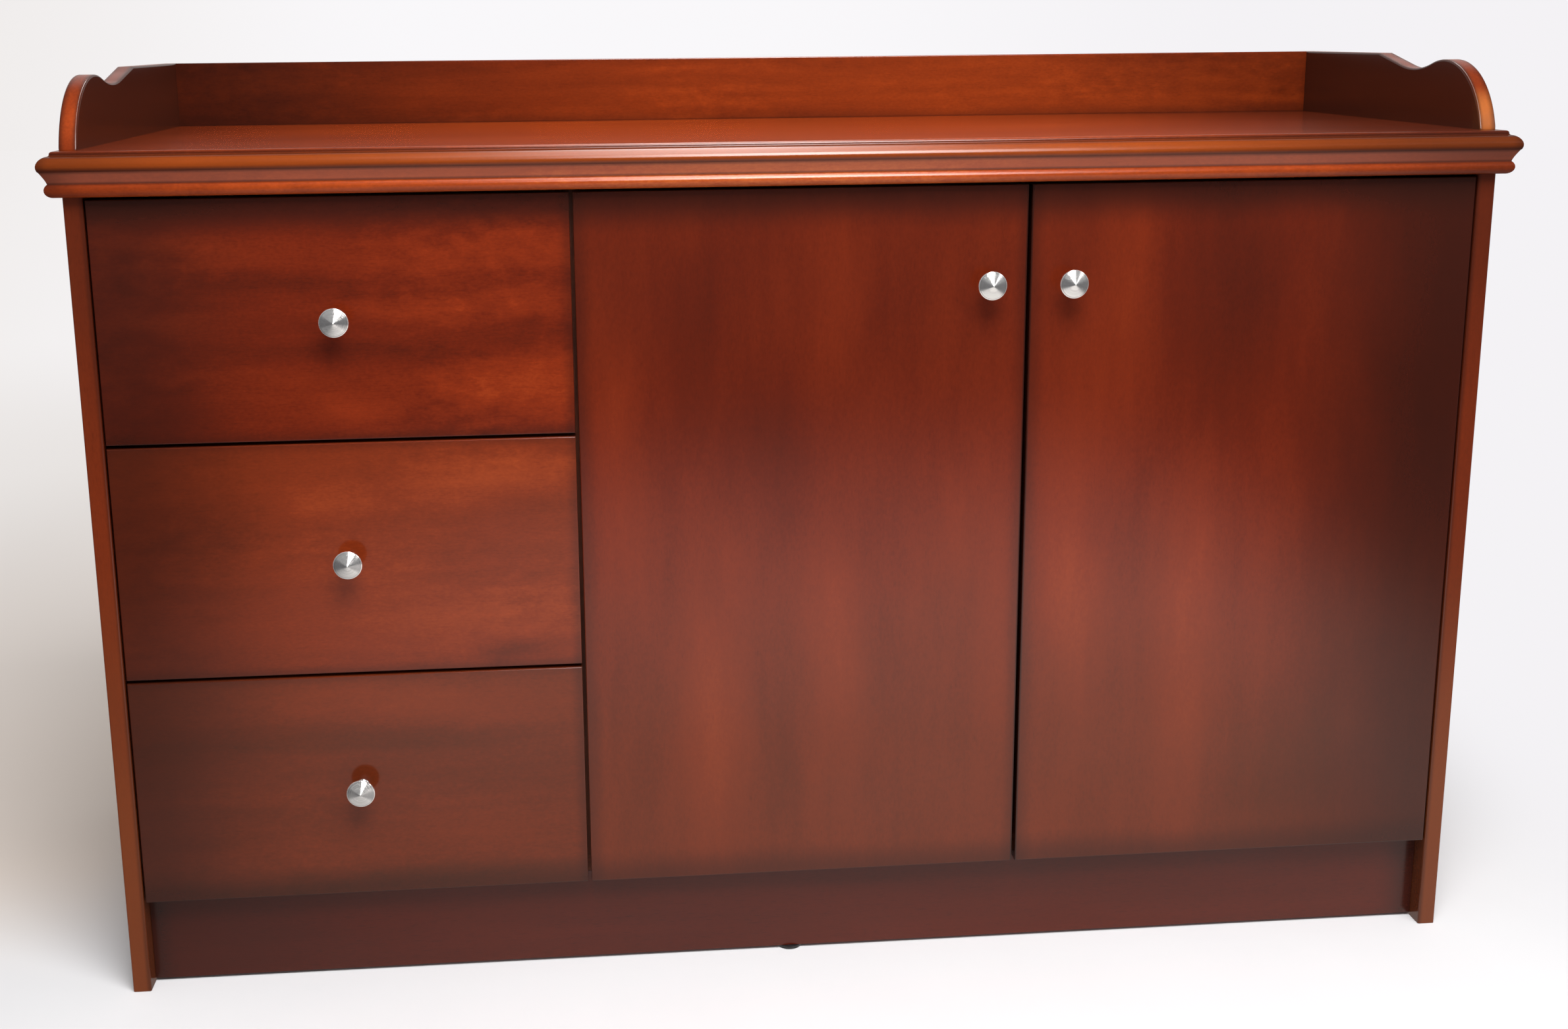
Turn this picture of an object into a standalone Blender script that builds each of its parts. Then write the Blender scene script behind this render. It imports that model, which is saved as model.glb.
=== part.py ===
"""A low cupboard: three drawers on the left, two doors on the right, a moulded top with a low gallery.

Units are metres and Z is up. X runs from left to right as seen from the front, and the front faces -Y.
The origin is on the floor, under the middle of the whole object with its knobs. Depths in the driving
dimensions are measured backwards from the front edges of the side panels, which the fronts lie flush with.
"""

import math

import bmesh
import bpy
from mathutils import Matrix, Vector

# Clearances
FIT = 0.0003  # between pieces that are glued or rest on each other
MITRE_FIT = FIT / math.sqrt(2)  # along the wall, either side of a mitred corner
CUT_THROUGH = 0.002  # how far a cutter runs past the face it opens
WELD = 0.00001  # points nearer than this are one
FLAT_ANGLE = math.radians(0.1)  # faces within this of each other are one

# Carcase
CARCASE_WIDTH = 1.380  # over the side panels
CARCASE_DEPTH = 0.460
UNDER_TOP = 0.834  # floor to the underside of the top board
SIDE_THICKNESS = 0.018
DIVIDER_THICKNESS = 0.018
BOTTOM_THICKNESS = 0.018
DRAWER_BAY = 0.441  # clear width between the left side panel and the divider
ARRIS = 0.0015  # radius of the eased edges that show
RAIL_THICKNESS = 0.022
RAIL_DEPTH = 0.060

# Plinth
PLINTH_HEIGHT = 0.100  # floor to the underside of the bottom board
PLINTH_THICKNESS = 0.018
PLINTH_CLEARANCE = 0.003  # floor to the plinth's lower edge
GLIDE_RADIUS = 0.013
GLIDE_OFFSET = -0.012  # from the middle of the cupboard

# Back panel, held in grooves of the side panels
BACK_THICKNESS = 0.004
BACK_INSET = 0.008
BACK_GROOVE = 0.008

# Shelf behind the doors, on two battens
SHELF_THICKNESS = 0.018
SHELF_HEIGHT = 0.455  # floor to the shelf's underside
SHELF_SETBACK = 0.045  # behind the front edge of the divider
SHELF_CLEARANCE = 0.001
BATTEN_THICKNESS = 0.015
BATTEN_HEIGHT = 0.022
BATTEN_SETBACK = 0.020  # behind the shelf's front edge
BATTEN_CHAMFER = 0.008

# Top board, with a square lip over a thumb moulding on its front and side edges
TOP_THICKNESS = 0.018
TOP_OVERHANG = 0.0167  # the thumb's tip
LIP_OVERHANG = 0.0064
LIP_HEIGHT = 0.0031
LIP_QUIRK = 0.0012  # step from the lip out to the thumb
THUMB_TIP = 0.0043  # tip's height over the board's underside
THUMB_RISE = 0.0095  # from its tip up to the quirk
THUMB_STEPS = 9

# Cornice under the top board: a sloping cove over a bead
CORNICE_HEIGHT = 0.0242
CORNICE_OVERHANG = 0.0152
BEAD_RADIUS = 0.0070
BEAD_OVERHANG = 0.0123
COVE_FOOT = 0.0095  # overhang where the cove meets the bead
BEAD_STEPS = 8

# Gallery on the top board
GALLERY_THICKNESS = 0.017
GALLERY_OVERHANG = 0.0033  # past the outer faces of the side panels
GALLERY_SETBACK = 0.0135
GALLERY_HEIGHT = 0.072
GALLERY_ARRIS = 0.0025
CROWN_HEIGHT = 0.0672  # rounded front end of each side board
CROWN_RADIUS = 0.086
DIP_HEIGHT = 0.057  # the hollow behind the crown
DIP_RUN = 0.066  # from the crown's top to the bottom of the hollow
RAMP_ANGLE = math.radians(12.2)
CROWN_STEPS = 16
DIP_STEPS = 6

# Doors and drawer fronts
FRONT_THICKNESS = 0.018
FRONT_STANDOFF = 0.002  # from a closed front to the carcase behind it
FRONT_GAP = 0.0035  # between neighbouring fronts
SIDE_GAP = 0.002  # between a front and a side panel
FRONT_LAP = 0.002  # how far the fronts hang below the bottom board
HEAD_GAP = 0.003  # over the fronts, under the cornice
FRONT_ARRIS = 0.001
LEFT_DOOR_WIDTH = 0.4405

# Drawer boxes
DRAWER_COUNT = 3
DRAWER_BACK_CLEARANCE = 0.030  # behind a closed drawer, to the back panel
DRAWER_SIDE_HEIGHT = 0.170
DRAWER_SIDE_THICKNESS = 0.012
DRAWER_BACK_THICKNESS = 0.012
DRAWER_BOTTOM_THICKNESS = 0.004
DRAWER_FOOT = 0.034  # lower edge of the front to the lower edge of the sides
DRAWER_GROOVE_HEIGHT = 0.010  # lower edge of the sides to the bottom panel
DRAWER_GROOVE_DEPTH = 0.005
GROOVE_END_PLAY = 0.0005

# Runners: a channel with a roller on the carcase, an angle with a roller on the drawer
RUNNER_GAP = 0.0125  # between the drawer's side and the carcase
RUNNER_SHEET = 0.0012
RUNNER_BACK_CLEARANCE = 0.026  # behind the runners, to the back panel
RUNNER_SETBACK = 0.002  # behind the front edge of the divider
CHANNEL_FLANGE = 0.0080
CHANNEL_FOOT = 0.0045  # channel's underside below the drawer's sides
CHANNEL_HEIGHT = 0.0190
ROLLER_RADIUS = 0.0075
ROLLER_END = 0.012  # roller's axle to the end of its rail
ROLLER_RISE = 0.0006  # the carcase roller's top over its channel
ROLLER_TIP = 0.0030  # clear space between the carcase and the drawer's roller

# Knobs
KNOB_RADIUS = 0.0140
KNOB_REACH = 0.0250
KNOB_CONE = 0.0045  # from the rim to the tip of the conical face
KNOB_RIM = 0.0012
KNOB_LIP = 0.0005  # rounding of the rim's front corner
KNOB_NECK = 0.0048  # from the rim to the slimmest place behind it
KNOB_SHOULDER_RADIUS = 0.0065
KNOB_STEM_RADIUS = 0.0045
KNOB_FOOT_RADIUS = 0.0070
KNOB_FOOT_HEIGHT = 0.0016
KNOB_FOOT_FLARE = 0.0015
KNOB_FROM_EDGE = 0.0385  # on the doors
KNOB_FROM_TOP = 0.0955

# Concealed hinges
HINGE_FROM_END = 0.100  # from the door's top and bottom edges
CUP_RADIUS = 0.0175
CUP_DEPTH = 0.0115
CUP_WALL = 0.0012
CUP_MARGIN = 0.005  # wood between the cup and the door's edge
CUP_RIM = 0.0009  # how far the cup stands out of the door's back
WING_LENGTH = 0.052
WING_WIDTH = 0.012
WING_THICKNESS = 0.0014
ARM_WIDTH = 0.013
ARM_THICKNESS = 0.0090
ARM_LENGTH = 0.070
ARM_REACH = 0.008  # past the middle of the cup
ARM_SINK = 0.0012  # into the plate that it clips on
ARM_CLEARANCE = 0.0012  # between the nose and the cup's wings
ARM_SLOT_LENGTH = 0.014
ARM_SLOT_WIDTH = 0.006
TONGUE_WIDTH = 0.010
NOSE_THICKNESS = 0.0095
NOSE_CHAMFER = 0.0048
PLATE_SETBACK = 0.037  # from the divider's front edge to the middle of the plate
PLATE_LENGTH = 0.036
PLATE_WIDTH = 0.046
PLATE_WAIST = 0.018  # width of the plate before and behind its wings
PLATE_WING = 0.014
PLATE_THICKNESS = 0.0055

# Facets
ROUND_SEGMENTS = 32
ROLLER_SEGMENTS = 16
WING_END_STEPS = 6

# Places worked out from the sizes
FRONT_Y = (KNOB_REACH - CARCASE_DEPTH) / 2
BACK_Y = FRONT_Y + CARCASE_DEPTH
OUTER_X = CARCASE_WIDTH / 2
INNER_X = OUTER_X - SIDE_THICKNESS
FRONT_BACK_Y = FRONT_Y + FRONT_THICKNESS
CARCASE_FRONT_Y = FRONT_BACK_Y + FRONT_STANDOFF
BACK_PANEL_Y = BACK_Y - BACK_INSET - BACK_THICKNESS
DRAWER_BACK_Y = BACK_PANEL_Y - DRAWER_BACK_CLEARANCE
RUNNER_BACK_Y = BACK_PANEL_Y - RUNNER_BACK_CLEARANCE
DIVIDER_X = -INNER_X + DRAWER_BAY + DIVIDER_THICKNESS / 2
DIVIDER_LEFT_X = DIVIDER_X - DIVIDER_THICKNESS / 2
DIVIDER_RIGHT_X = DIVIDER_X + DIVIDER_THICKNESS / 2
BOTTOM_TOP_Z = PLINTH_HEIGHT + BOTTOM_THICKNESS
CARCASE_TOP_Z = UNDER_TOP - FIT
RAIL_Z = UNDER_TOP - RAIL_THICKNESS
CORNICE_Z = UNDER_TOP - CORNICE_HEIGHT
TOP_Z = UNDER_TOP + TOP_THICKNESS
FRONTS_BOTTOM_Z = PLINTH_HEIGHT - FRONT_LAP
FRONTS_TOP_Z = CORNICE_Z - HEAD_GAP
DRAWER_FRONT_HEIGHT = (FRONTS_TOP_Z - FRONTS_BOTTOM_Z - (DRAWER_COUNT - 1) * FRONT_GAP) / DRAWER_COUNT
DRAWER_LEFT_X = -INNER_X + SIDE_GAP
DRAWER_RIGHT_X = DIVIDER_X - FRONT_GAP / 2
LEFT_DOOR_LEFT_X = DIVIDER_X + FRONT_GAP / 2
LEFT_DOOR_RIGHT_X = LEFT_DOOR_LEFT_X + LEFT_DOOR_WIDTH
RIGHT_DOOR_LEFT_X = LEFT_DOOR_RIGHT_X + FRONT_GAP
RIGHT_DOOR_RIGHT_X = INNER_X - SIDE_GAP
LEFT, RIGHT = -1, 1


def clear_scene():
    """Removes what the file opened with."""
    for obj in list(bpy.data.objects):
        bpy.data.objects.remove(obj, do_unlink=True)


def new_collection(name):
    """Adds an empty collection to the scene."""
    collection = bpy.data.collections.new(name)
    bpy.context.scene.collection.children.link(collection)
    return collection


def new_material(name, colour, roughness, metallic=0.0):
    """A Principled finish."""
    material = bpy.data.materials.new(name)
    material.use_nodes = True
    shader = material.node_tree.nodes["Principled BSDF"]
    shader.inputs["Base Color"].default_value = (*colour, 1.0)
    shader.inputs["Roughness"].default_value = roughness
    shader.inputs["Metallic"].default_value = metallic
    material.diffuse_color = (*colour, 1.0)
    return material


def box_mesh(low, high):
    """A box between two opposite corners."""
    low, high = Vector(low), Vector(high)
    shape = bmesh.new()
    place = Matrix.Translation((low + high) / 2) @ Matrix.Diagonal((*(high - low), 1.0))
    bmesh.ops.create_cube(shape, size=1.0, matrix=place)
    return shape


def outline_mesh(outline, across, start, end):
    """A flat outline, drawn square to the axis "X", "Y" or "Z", and as thick as start to end on it."""
    curve = bpy.data.curves.new("outline", "CURVE")
    curve.dimensions = "2D"
    curve.fill_mode = "BOTH"
    curve.extrude = abs(end - start) / 2
    spline = curve.splines.new("POLY")
    spline.points.add(len(outline) - 1)
    for point, (a, b) in zip(spline.points, outline):
        point.co = (a, b, 0.0, 1.0)
    spline.use_cyclic_u = True
    drawing = bpy.data.objects.new("outline", curve)
    TOOLS.objects.link(drawing)
    mesh = bpy.data.meshes.new_from_object(drawing.evaluated_get(bpy.context.evaluated_depsgraph_get()))
    shape = bmesh.new()
    shape.from_mesh(mesh)
    bpy.data.objects.remove(drawing, do_unlink=True)
    bpy.data.curves.remove(curve)
    bpy.data.meshes.remove(mesh)
    bmesh.ops.remove_doubles(shape, verts=shape.verts, dist=WELD)
    bmesh.ops.dissolve_limit(shape, angle_limit=FLAT_ANGLE, verts=shape.verts, edges=shape.edges)
    middle = (start + end) / 2
    turn = {
        "X": Matrix(((0, 0, 1, middle), (1, 0, 0, 0), (0, 1, 0, 0), (0, 0, 0, 1))),
        "Y": Matrix(((1, 0, 0, 0), (0, 0, -1, middle), (0, 1, 0, 0), (0, 0, 0, 1))),
        "Z": Matrix.Translation((0, 0, middle)),
    }[across]
    bmesh.ops.transform(shape, matrix=turn, verts=shape.verts)
    return shape


def cylinder_mesh(radius, centre, axis, length, segments):
    """A cylinder that starts at centre and runs along the direction axis."""
    shape = bmesh.new()
    turn = Vector((0, 0, 1)).rotation_difference(Vector(axis)).to_matrix().to_4x4()
    place = Matrix.Translation(Vector(centre)) @ turn @ Matrix.Translation((0, 0, length / 2))
    bmesh.ops.create_cone(
        shape,
        cap_ends=True,
        segments=segments,
        radius1=radius,
        radius2=radius,
        depth=length,
        matrix=place,
    )
    return shape


def mark_edges(shape, wanted):
    """Marks the edges whose two ends pass the test wanted, for ease_edges to round."""
    weight = shape.edges.layers.float.new("bevel_weight_edge")
    for edge in shape.edges:
        edge[weight] = float(wanted(edge.verts[0].co, edge.verts[1].co))
    return shape


def ease_edges(piece, radius):
    """Rounds the marked edges of a piece."""
    bevel = piece.modifiers.new("Ease", "BEVEL")
    bevel.limit_method = "WEIGHT"
    bevel.width = radius
    bevel.segments = 2
    return piece


def cut_end(shape, place, outwards):
    """Saws off what lies outwards of a plane, and closes the cut."""
    everything = [*shape.verts, *shape.edges, *shape.faces]
    cut = bmesh.ops.bisect_plane(shape, geom=everything, plane_co=place, plane_no=outwards, clear_outer=True)
    rim = [item for item in cut["geom_cut"] if isinstance(item, bmesh.types.BMEdge)]
    bmesh.ops.holes_fill(shape, edges=rim, sides=0)


def same(a, b):
    """Whether two coordinates lie on one plane."""
    return abs(a - b) < 1e-6


def add_piece(shape, name, material, collection=None):
    """Makes an object of a mesh drawn in place, with its origin in the middle of its box."""
    bmesh.ops.recalc_face_normals(shape, faces=shape.faces)
    corners = [vertex.co for vertex in shape.verts]
    low = Vector([min(corner[axis] for corner in corners) for axis in range(3)])
    high = Vector([max(corner[axis] for corner in corners) for axis in range(3)])
    middle = (low + high) / 2
    bmesh.ops.translate(shape, verts=shape.verts, vec=-middle)
    mesh = bpy.data.meshes.new(name)
    shape.to_mesh(mesh)
    shape.free()
    mesh.materials.append(material)
    piece = bpy.data.objects.new(name, mesh)
    piece.location = middle
    (collection or PARTS).objects.link(piece)
    return piece


def add_board(name, low, high, material):
    """A plain board with square edges."""
    return add_piece(box_mesh(low, high), name, material)


def combine(piece, tool_shape, operation):
    """Combines a piece with a shape: "DIFFERENCE" cuts, "UNION" joins, "INTERSECT" keeps what both hold."""
    tool = add_piece(tool_shape, f"{piece.name}_{operation.lower()}", piece.data.materials[0], TOOLS)
    tool.hide_render = True
    tool.display_type = "WIRE"
    modifier = piece.modifiers.new(operation.title(), "BOOLEAN")
    modifier.operation = operation
    modifier.object = tool
    modifier.solver = "EXACT"
    return tool


def tools_of(piece):
    """The hidden solids that a piece is cut or joined with."""
    return [modifier.object for modifier in piece.modifiers if modifier.type == "BOOLEAN"]


def add_pivot(name, place):
    """An empty on a joint's axis, for the pieces that move together."""
    pivot = bpy.data.objects.new(name, None)
    pivot.empty_display_size = 0.05
    pivot.location = place
    PARTS.objects.link(pivot)
    return pivot


def carry(pivot, pieces):
    """Parents pieces, with their tools, to a pivot, and leaves them where they are."""
    for piece in pieces:
        for item in [piece, *tools_of(piece)]:
            item.parent = pivot
            item.location = item.location - pivot.location


def turned_piece(name, profile, place, material, segments):
    """A profile of (radius, distance out from place) points turned about an axis that points to the front."""
    mesh = bpy.data.meshes.new(name)
    points = [(radius, 0.0, out) for radius, out in profile]
    mesh.from_pydata(points, [(i, i + 1) for i in range(len(points) - 1)], [])
    mesh.materials.append(material)
    piece = bpy.data.objects.new(name, mesh)
    piece.location = place
    piece.rotation_euler = (math.pi / 2, 0, 0)
    screw = piece.modifiers.new("Turn", "SCREW")
    screw.axis = "Z"
    screw.steps = segments
    screw.render_steps = segments
    screw.use_merge_vertices = True
    screw.merge_threshold = 0.0001
    screw.use_smooth_shade = True
    PARTS.objects.link(piece)
    return piece


def arc(centre, radius, start, end, steps):
    """Points on an arc. Angles are from the upright, and turn from it towards the first coordinate."""
    angles = [start + (end - start) * step / steps for step in range(steps + 1)]
    return [(centre[0] + radius * math.sin(a), centre[1] + radius * math.cos(a)) for a in angles]


def build_side_panel(side):
    """A side panel: it runs to the floor, with eased front edges and a groove for the back panel."""
    low_x, high_x = sorted((side * INNER_X, side * OUTER_X))
    shape = box_mesh((low_x, FRONT_Y, 0), (high_x, BACK_Y, CARCASE_TOP_Z))
    mark_edges(shape, lambda a, b: same(a.y, FRONT_Y) and same(b.y, FRONT_Y) and same(a.x, b.x))
    name = "left_side_panel" if side == LEFT else "right_side_panel"
    panel = ease_edges(add_piece(shape, name, MAHOGANY), ARRIS)
    groove_x = sorted((side * (INNER_X - CUT_THROUGH), side * (INNER_X + BACK_GROOVE)))
    groove = box_mesh(
        (groove_x[0], BACK_PANEL_Y - FIT, PLINTH_HEIGHT - FIT),
        (groove_x[1], BACK_PANEL_Y + BACK_THICKNESS + FIT, CARCASE_TOP_Z + CUT_THROUGH),
    )
    combine(panel, groove, "DIFFERENCE")


def build_carcase():
    """The boards between the side panels."""
    span = INNER_X - FIT
    inside_back_y = BACK_PANEL_Y - FIT
    back_reach = INNER_X + BACK_GROOVE - GROOVE_END_PLAY
    add_board(
        "bottom_board",
        (-span, CARCASE_FRONT_Y, PLINTH_HEIGHT),
        (span, inside_back_y, BOTTOM_TOP_Z),
        INSIDE,
    )
    add_board(
        "plinth",
        (-span, CARCASE_FRONT_Y, PLINTH_CLEARANCE),
        (span, CARCASE_FRONT_Y + PLINTH_THICKNESS, PLINTH_HEIGHT - FIT),
        MAHOGANY,
    )
    add_board(
        "back_panel",
        (-back_reach, BACK_PANEL_Y, PLINTH_HEIGHT),
        (back_reach, BACK_PANEL_Y + BACK_THICKNESS, CARCASE_TOP_Z),
        PANEL,
    )
    add_board("top_front_rail", (-span, FRONT_Y, RAIL_Z), (span, FRONT_Y + RAIL_DEPTH, CARCASE_TOP_Z), INSIDE)
    divider = add_board(
        "divider",
        (DIVIDER_LEFT_X, CARCASE_FRONT_Y, BOTTOM_TOP_Z + FIT),
        (DIVIDER_RIGHT_X, inside_back_y, CARCASE_TOP_Z),
        INSIDE,
    )
    notch = box_mesh(
        (DIVIDER_LEFT_X - CUT_THROUGH, FRONT_Y - CUT_THROUGH, RAIL_Z - FIT),
        (DIVIDER_RIGHT_X + CUT_THROUGH, FRONT_Y + RAIL_DEPTH + FIT, CARCASE_TOP_Z + CUT_THROUGH),
    )
    combine(divider, notch, "DIFFERENCE")


def build_plinth_glide():
    """A round nail-on glide under the middle of the plinth."""
    place = (GLIDE_OFFSET, CARCASE_FRONT_Y + PLINTH_THICKNESS / 2, 0)
    shape = cylinder_mesh(GLIDE_RADIUS, place, (0, 0, 1), PLINTH_CLEARANCE - FIT, ROUND_SEGMENTS)
    add_piece(shape, "plinth_glide", BLACK_PLASTIC)


def build_shelf():
    """The shelf behind the doors, and the two battens that it rests on."""
    front_y = CARCASE_FRONT_Y + SHELF_SETBACK
    back_y = BACK_PANEL_Y - SHELF_CLEARANCE
    left_x = DIVIDER_RIGHT_X + SHELF_CLEARANCE
    right_x = INNER_X - SHELF_CLEARANCE
    add_board(
        "shelf",
        (left_x, front_y, SHELF_HEIGHT),
        (right_x, back_y, SHELF_HEIGHT + SHELF_THICKNESS),
        INSIDE,
    )
    top_z = SHELF_HEIGHT - FIT
    batten_front_y = front_y + BATTEN_SETBACK
    side_view = [
        (batten_front_y, top_z),
        (back_y, top_z),
        (back_y, top_z - BATTEN_HEIGHT),
        (batten_front_y + BATTEN_CHAMFER, top_z - BATTEN_HEIGHT),
        (batten_front_y, top_z - BATTEN_HEIGHT + BATTEN_CHAMFER),
    ]
    for side, wall_x, inwards in ((LEFT, DIVIDER_RIGHT_X, 1), (RIGHT, INNER_X, -1)):
        start_x = wall_x + inwards * FIT
        shape = outline_mesh(side_view, "X", start_x, start_x + inwards * BATTEN_THICKNESS)
        add_piece(shape, "shelf_batten_left" if side == LEFT else "shelf_batten_right", INSIDE)


def thumb_profile():
    """The top board's moulded edge from its underside up, as (overhang, height over the underside)."""
    root = LIP_OVERHANG + LIP_QUIRK
    width = TOP_OVERHANG - root
    start = -math.asin(THUMB_TIP / THUMB_RISE)
    angles = [start + (math.pi / 2 - start) * step / THUMB_STEPS for step in range(THUMB_STEPS + 1)]
    thumb = [(root + width * math.cos(a), THUMB_TIP + THUMB_RISE * math.sin(a)) for a in angles]
    return [*thumb, (LIP_OVERHANG, TOP_THICKNESS - LIP_HEIGHT), (LIP_OVERHANG, TOP_THICKNESS)]


def build_top_board():
    """The top board: moulded along both ends, then along its front, so that the mouldings meet in mitres."""
    profile = thumb_profile()
    right_end = [(OUTER_X + out, UNDER_TOP + up) for out, up in profile]
    left_end = [(-x, z) for x, z in reversed(right_end)]
    front_reach = FRONT_Y - TOP_OVERHANG - CUT_THROUGH
    board = add_piece(outline_mesh([*right_end, *left_end], "Y", front_reach, BACK_Y), "top_board", MAHOGANY)
    low, high = UNDER_TOP - CUT_THROUGH, TOP_Z + CUT_THROUGH
    front = [(FRONT_Y - out, UNDER_TOP + up) for out, up in profile]
    behind = BACK_Y + CUT_THROUGH
    kept = [(front[0][0], low), *front, (front[-1][0], high), (behind, high), (behind, low)]
    reach = OUTER_X + TOP_OVERHANG + CUT_THROUGH
    combine(board, outline_mesh(kept, "X", -reach, reach), "INTERSECT")


def cornice_profile():
    """The cornice's section as (overhang, height over its underside), from its foot round to its head."""
    centre = (BEAD_OVERHANG - BEAD_RADIUS, BEAD_RADIUS)
    meeting = math.asin((COVE_FOOT - centre[0]) / BEAD_RADIUS)
    bead = arc(centre, BEAD_RADIUS, math.pi, meeting, BEAD_STEPS)
    head = CORNICE_HEIGHT - FIT
    return [(FIT, 0.0), *bead, (CORNICE_OVERHANG, head), (FIT, head)]


def build_cornice():
    """Three strips of one section, mitred at the front corners."""
    profile = cornice_profile()
    reach = OUTER_X + CORNICE_OVERHANG
    outline = [(FRONT_Y - out, CORNICE_Z + up) for out, up in profile]
    shape = outline_mesh(outline, "X", -reach, reach)
    for side in (LEFT, RIGHT):
        cut_end(shape, (side * (OUTER_X - MITRE_FIT), FRONT_Y, 0), (side, 1, 0))
    add_piece(shape, "cornice_front", MAHOGANY)
    for side, name in ((LEFT, "cornice_left"), (RIGHT, "cornice_right")):
        outline = [(side * (OUTER_X + out), CORNICE_Z + up) for out, up in profile]
        shape = outline_mesh(outline, "Y", FRONT_Y - CORNICE_OVERHANG, BACK_Y)
        cut_end(shape, (side * OUTER_X, FRONT_Y + MITRE_FIT, 0), (-side, -1, 0))
        add_piece(shape, name, MAHOGANY)


def scroll_outline():
    """Side view of a gallery side: a round crown, a hollow, a ramp and a level run, as (depth, height)."""
    crown_drop = CROWN_RADIUS - CROWN_HEIGHT
    crown = (math.sqrt(CROWN_RADIUS**2 - crown_drop**2), -crown_drop)
    rise = DIP_HEIGHT + crown_drop
    dip_radius = (DIP_RUN**2 + rise**2 - CROWN_RADIUS**2) / (2 * (CROWN_HEIGHT - DIP_HEIGHT))
    dip = (crown[0] + DIP_RUN, DIP_HEIGHT + dip_radius)
    turn = math.asin(DIP_RUN / (CROWN_RADIUS + dip_radius))
    front = arc(crown, CROWN_RADIUS, -math.asin(crown[0] / CROWN_RADIUS), turn, CROWN_STEPS)
    hollow = arc(dip, dip_radius, math.pi + turn, math.pi - RAMP_ANGLE, DIP_STEPS)
    ramp_end = hollow[-1][0] + (GALLERY_HEIGHT - hollow[-1][1]) / math.tan(RAMP_ANGLE)
    length = CARCASE_DEPTH - GALLERY_SETBACK
    return [*front, *hollow[1:], (ramp_end, GALLERY_HEIGHT), (length, GALLERY_HEIGHT), (length, 0.0)]


def build_gallery():
    """The low boards round the top: two shaped sides, and a back between them."""
    foot_z = TOP_Z + FIT
    front_y = FRONT_Y + GALLERY_SETBACK
    outer_x = OUTER_X + GALLERY_OVERHANG
    outline = [(front_y + depth, foot_z + height) for depth, height in scroll_outline()]

    def on_scroll(a, b):
        on_foot = same(a.z, foot_z) and same(b.z, foot_z)
        on_back = same(a.y, BACK_Y) and same(b.y, BACK_Y)
        return same(a.x, b.x) and not on_foot and not on_back

    for side, name in ((LEFT, "gallery_left"), (RIGHT, "gallery_right")):
        shape = outline_mesh(outline, "X", side * outer_x, side * (outer_x - GALLERY_THICKNESS))
        mark_edges(shape, on_scroll)
        ease_edges(add_piece(shape, name, MAHOGANY), GALLERY_ARRIS)
    reach = outer_x - GALLERY_THICKNESS - FIT
    top_z = foot_z + GALLERY_HEIGHT
    shape = box_mesh((-reach, BACK_Y - GALLERY_THICKNESS, foot_z), (reach, BACK_Y, top_z))
    mark_edges(shape, lambda a, b: same(a.z, top_z) and same(b.z, top_z) and same(a.y, b.y))
    ease_edges(add_piece(shape, "gallery_back", MAHOGANY), GALLERY_ARRIS)


def add_front(name, left_x, right_x, bottom_z, top_z):
    """A door or drawer front with its front edges eased."""
    shape = box_mesh((left_x, FRONT_Y, bottom_z), (right_x, FRONT_BACK_Y, top_z))
    mark_edges(shape, lambda a, b: same(a.y, FRONT_Y) and same(b.y, FRONT_Y))
    return ease_edges(add_piece(shape, name, MAHOGANY), FRONT_ARRIS)


def add_knob(name, x, z):
    """A spun metal knob: a wide shallow cone on a slim stem with a flared foot."""
    rim = KNOB_REACH - KNOB_CONE
    neck = rim - KNOB_NECK
    profile = [
        (0.0, KNOB_REACH),
        (KNOB_RADIUS - KNOB_LIP, rim),
        (KNOB_RADIUS, rim - KNOB_LIP),
        (KNOB_RADIUS, rim - KNOB_RIM),
        (KNOB_SHOULDER_RADIUS, neck + KNOB_RIM),
        (KNOB_STEM_RADIUS, neck - KNOB_RIM),
        (KNOB_STEM_RADIUS, KNOB_FOOT_HEIGHT + KNOB_FOOT_FLARE),
        (KNOB_FOOT_RADIUS, KNOB_FOOT_HEIGHT),
        (KNOB_FOOT_RADIUS, FIT),
        (0.0, FIT),
    ]
    return turned_piece(name, profile, (x, FRONT_Y, z), BRUSHED_STEEL, ROUND_SEGMENTS)


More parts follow.
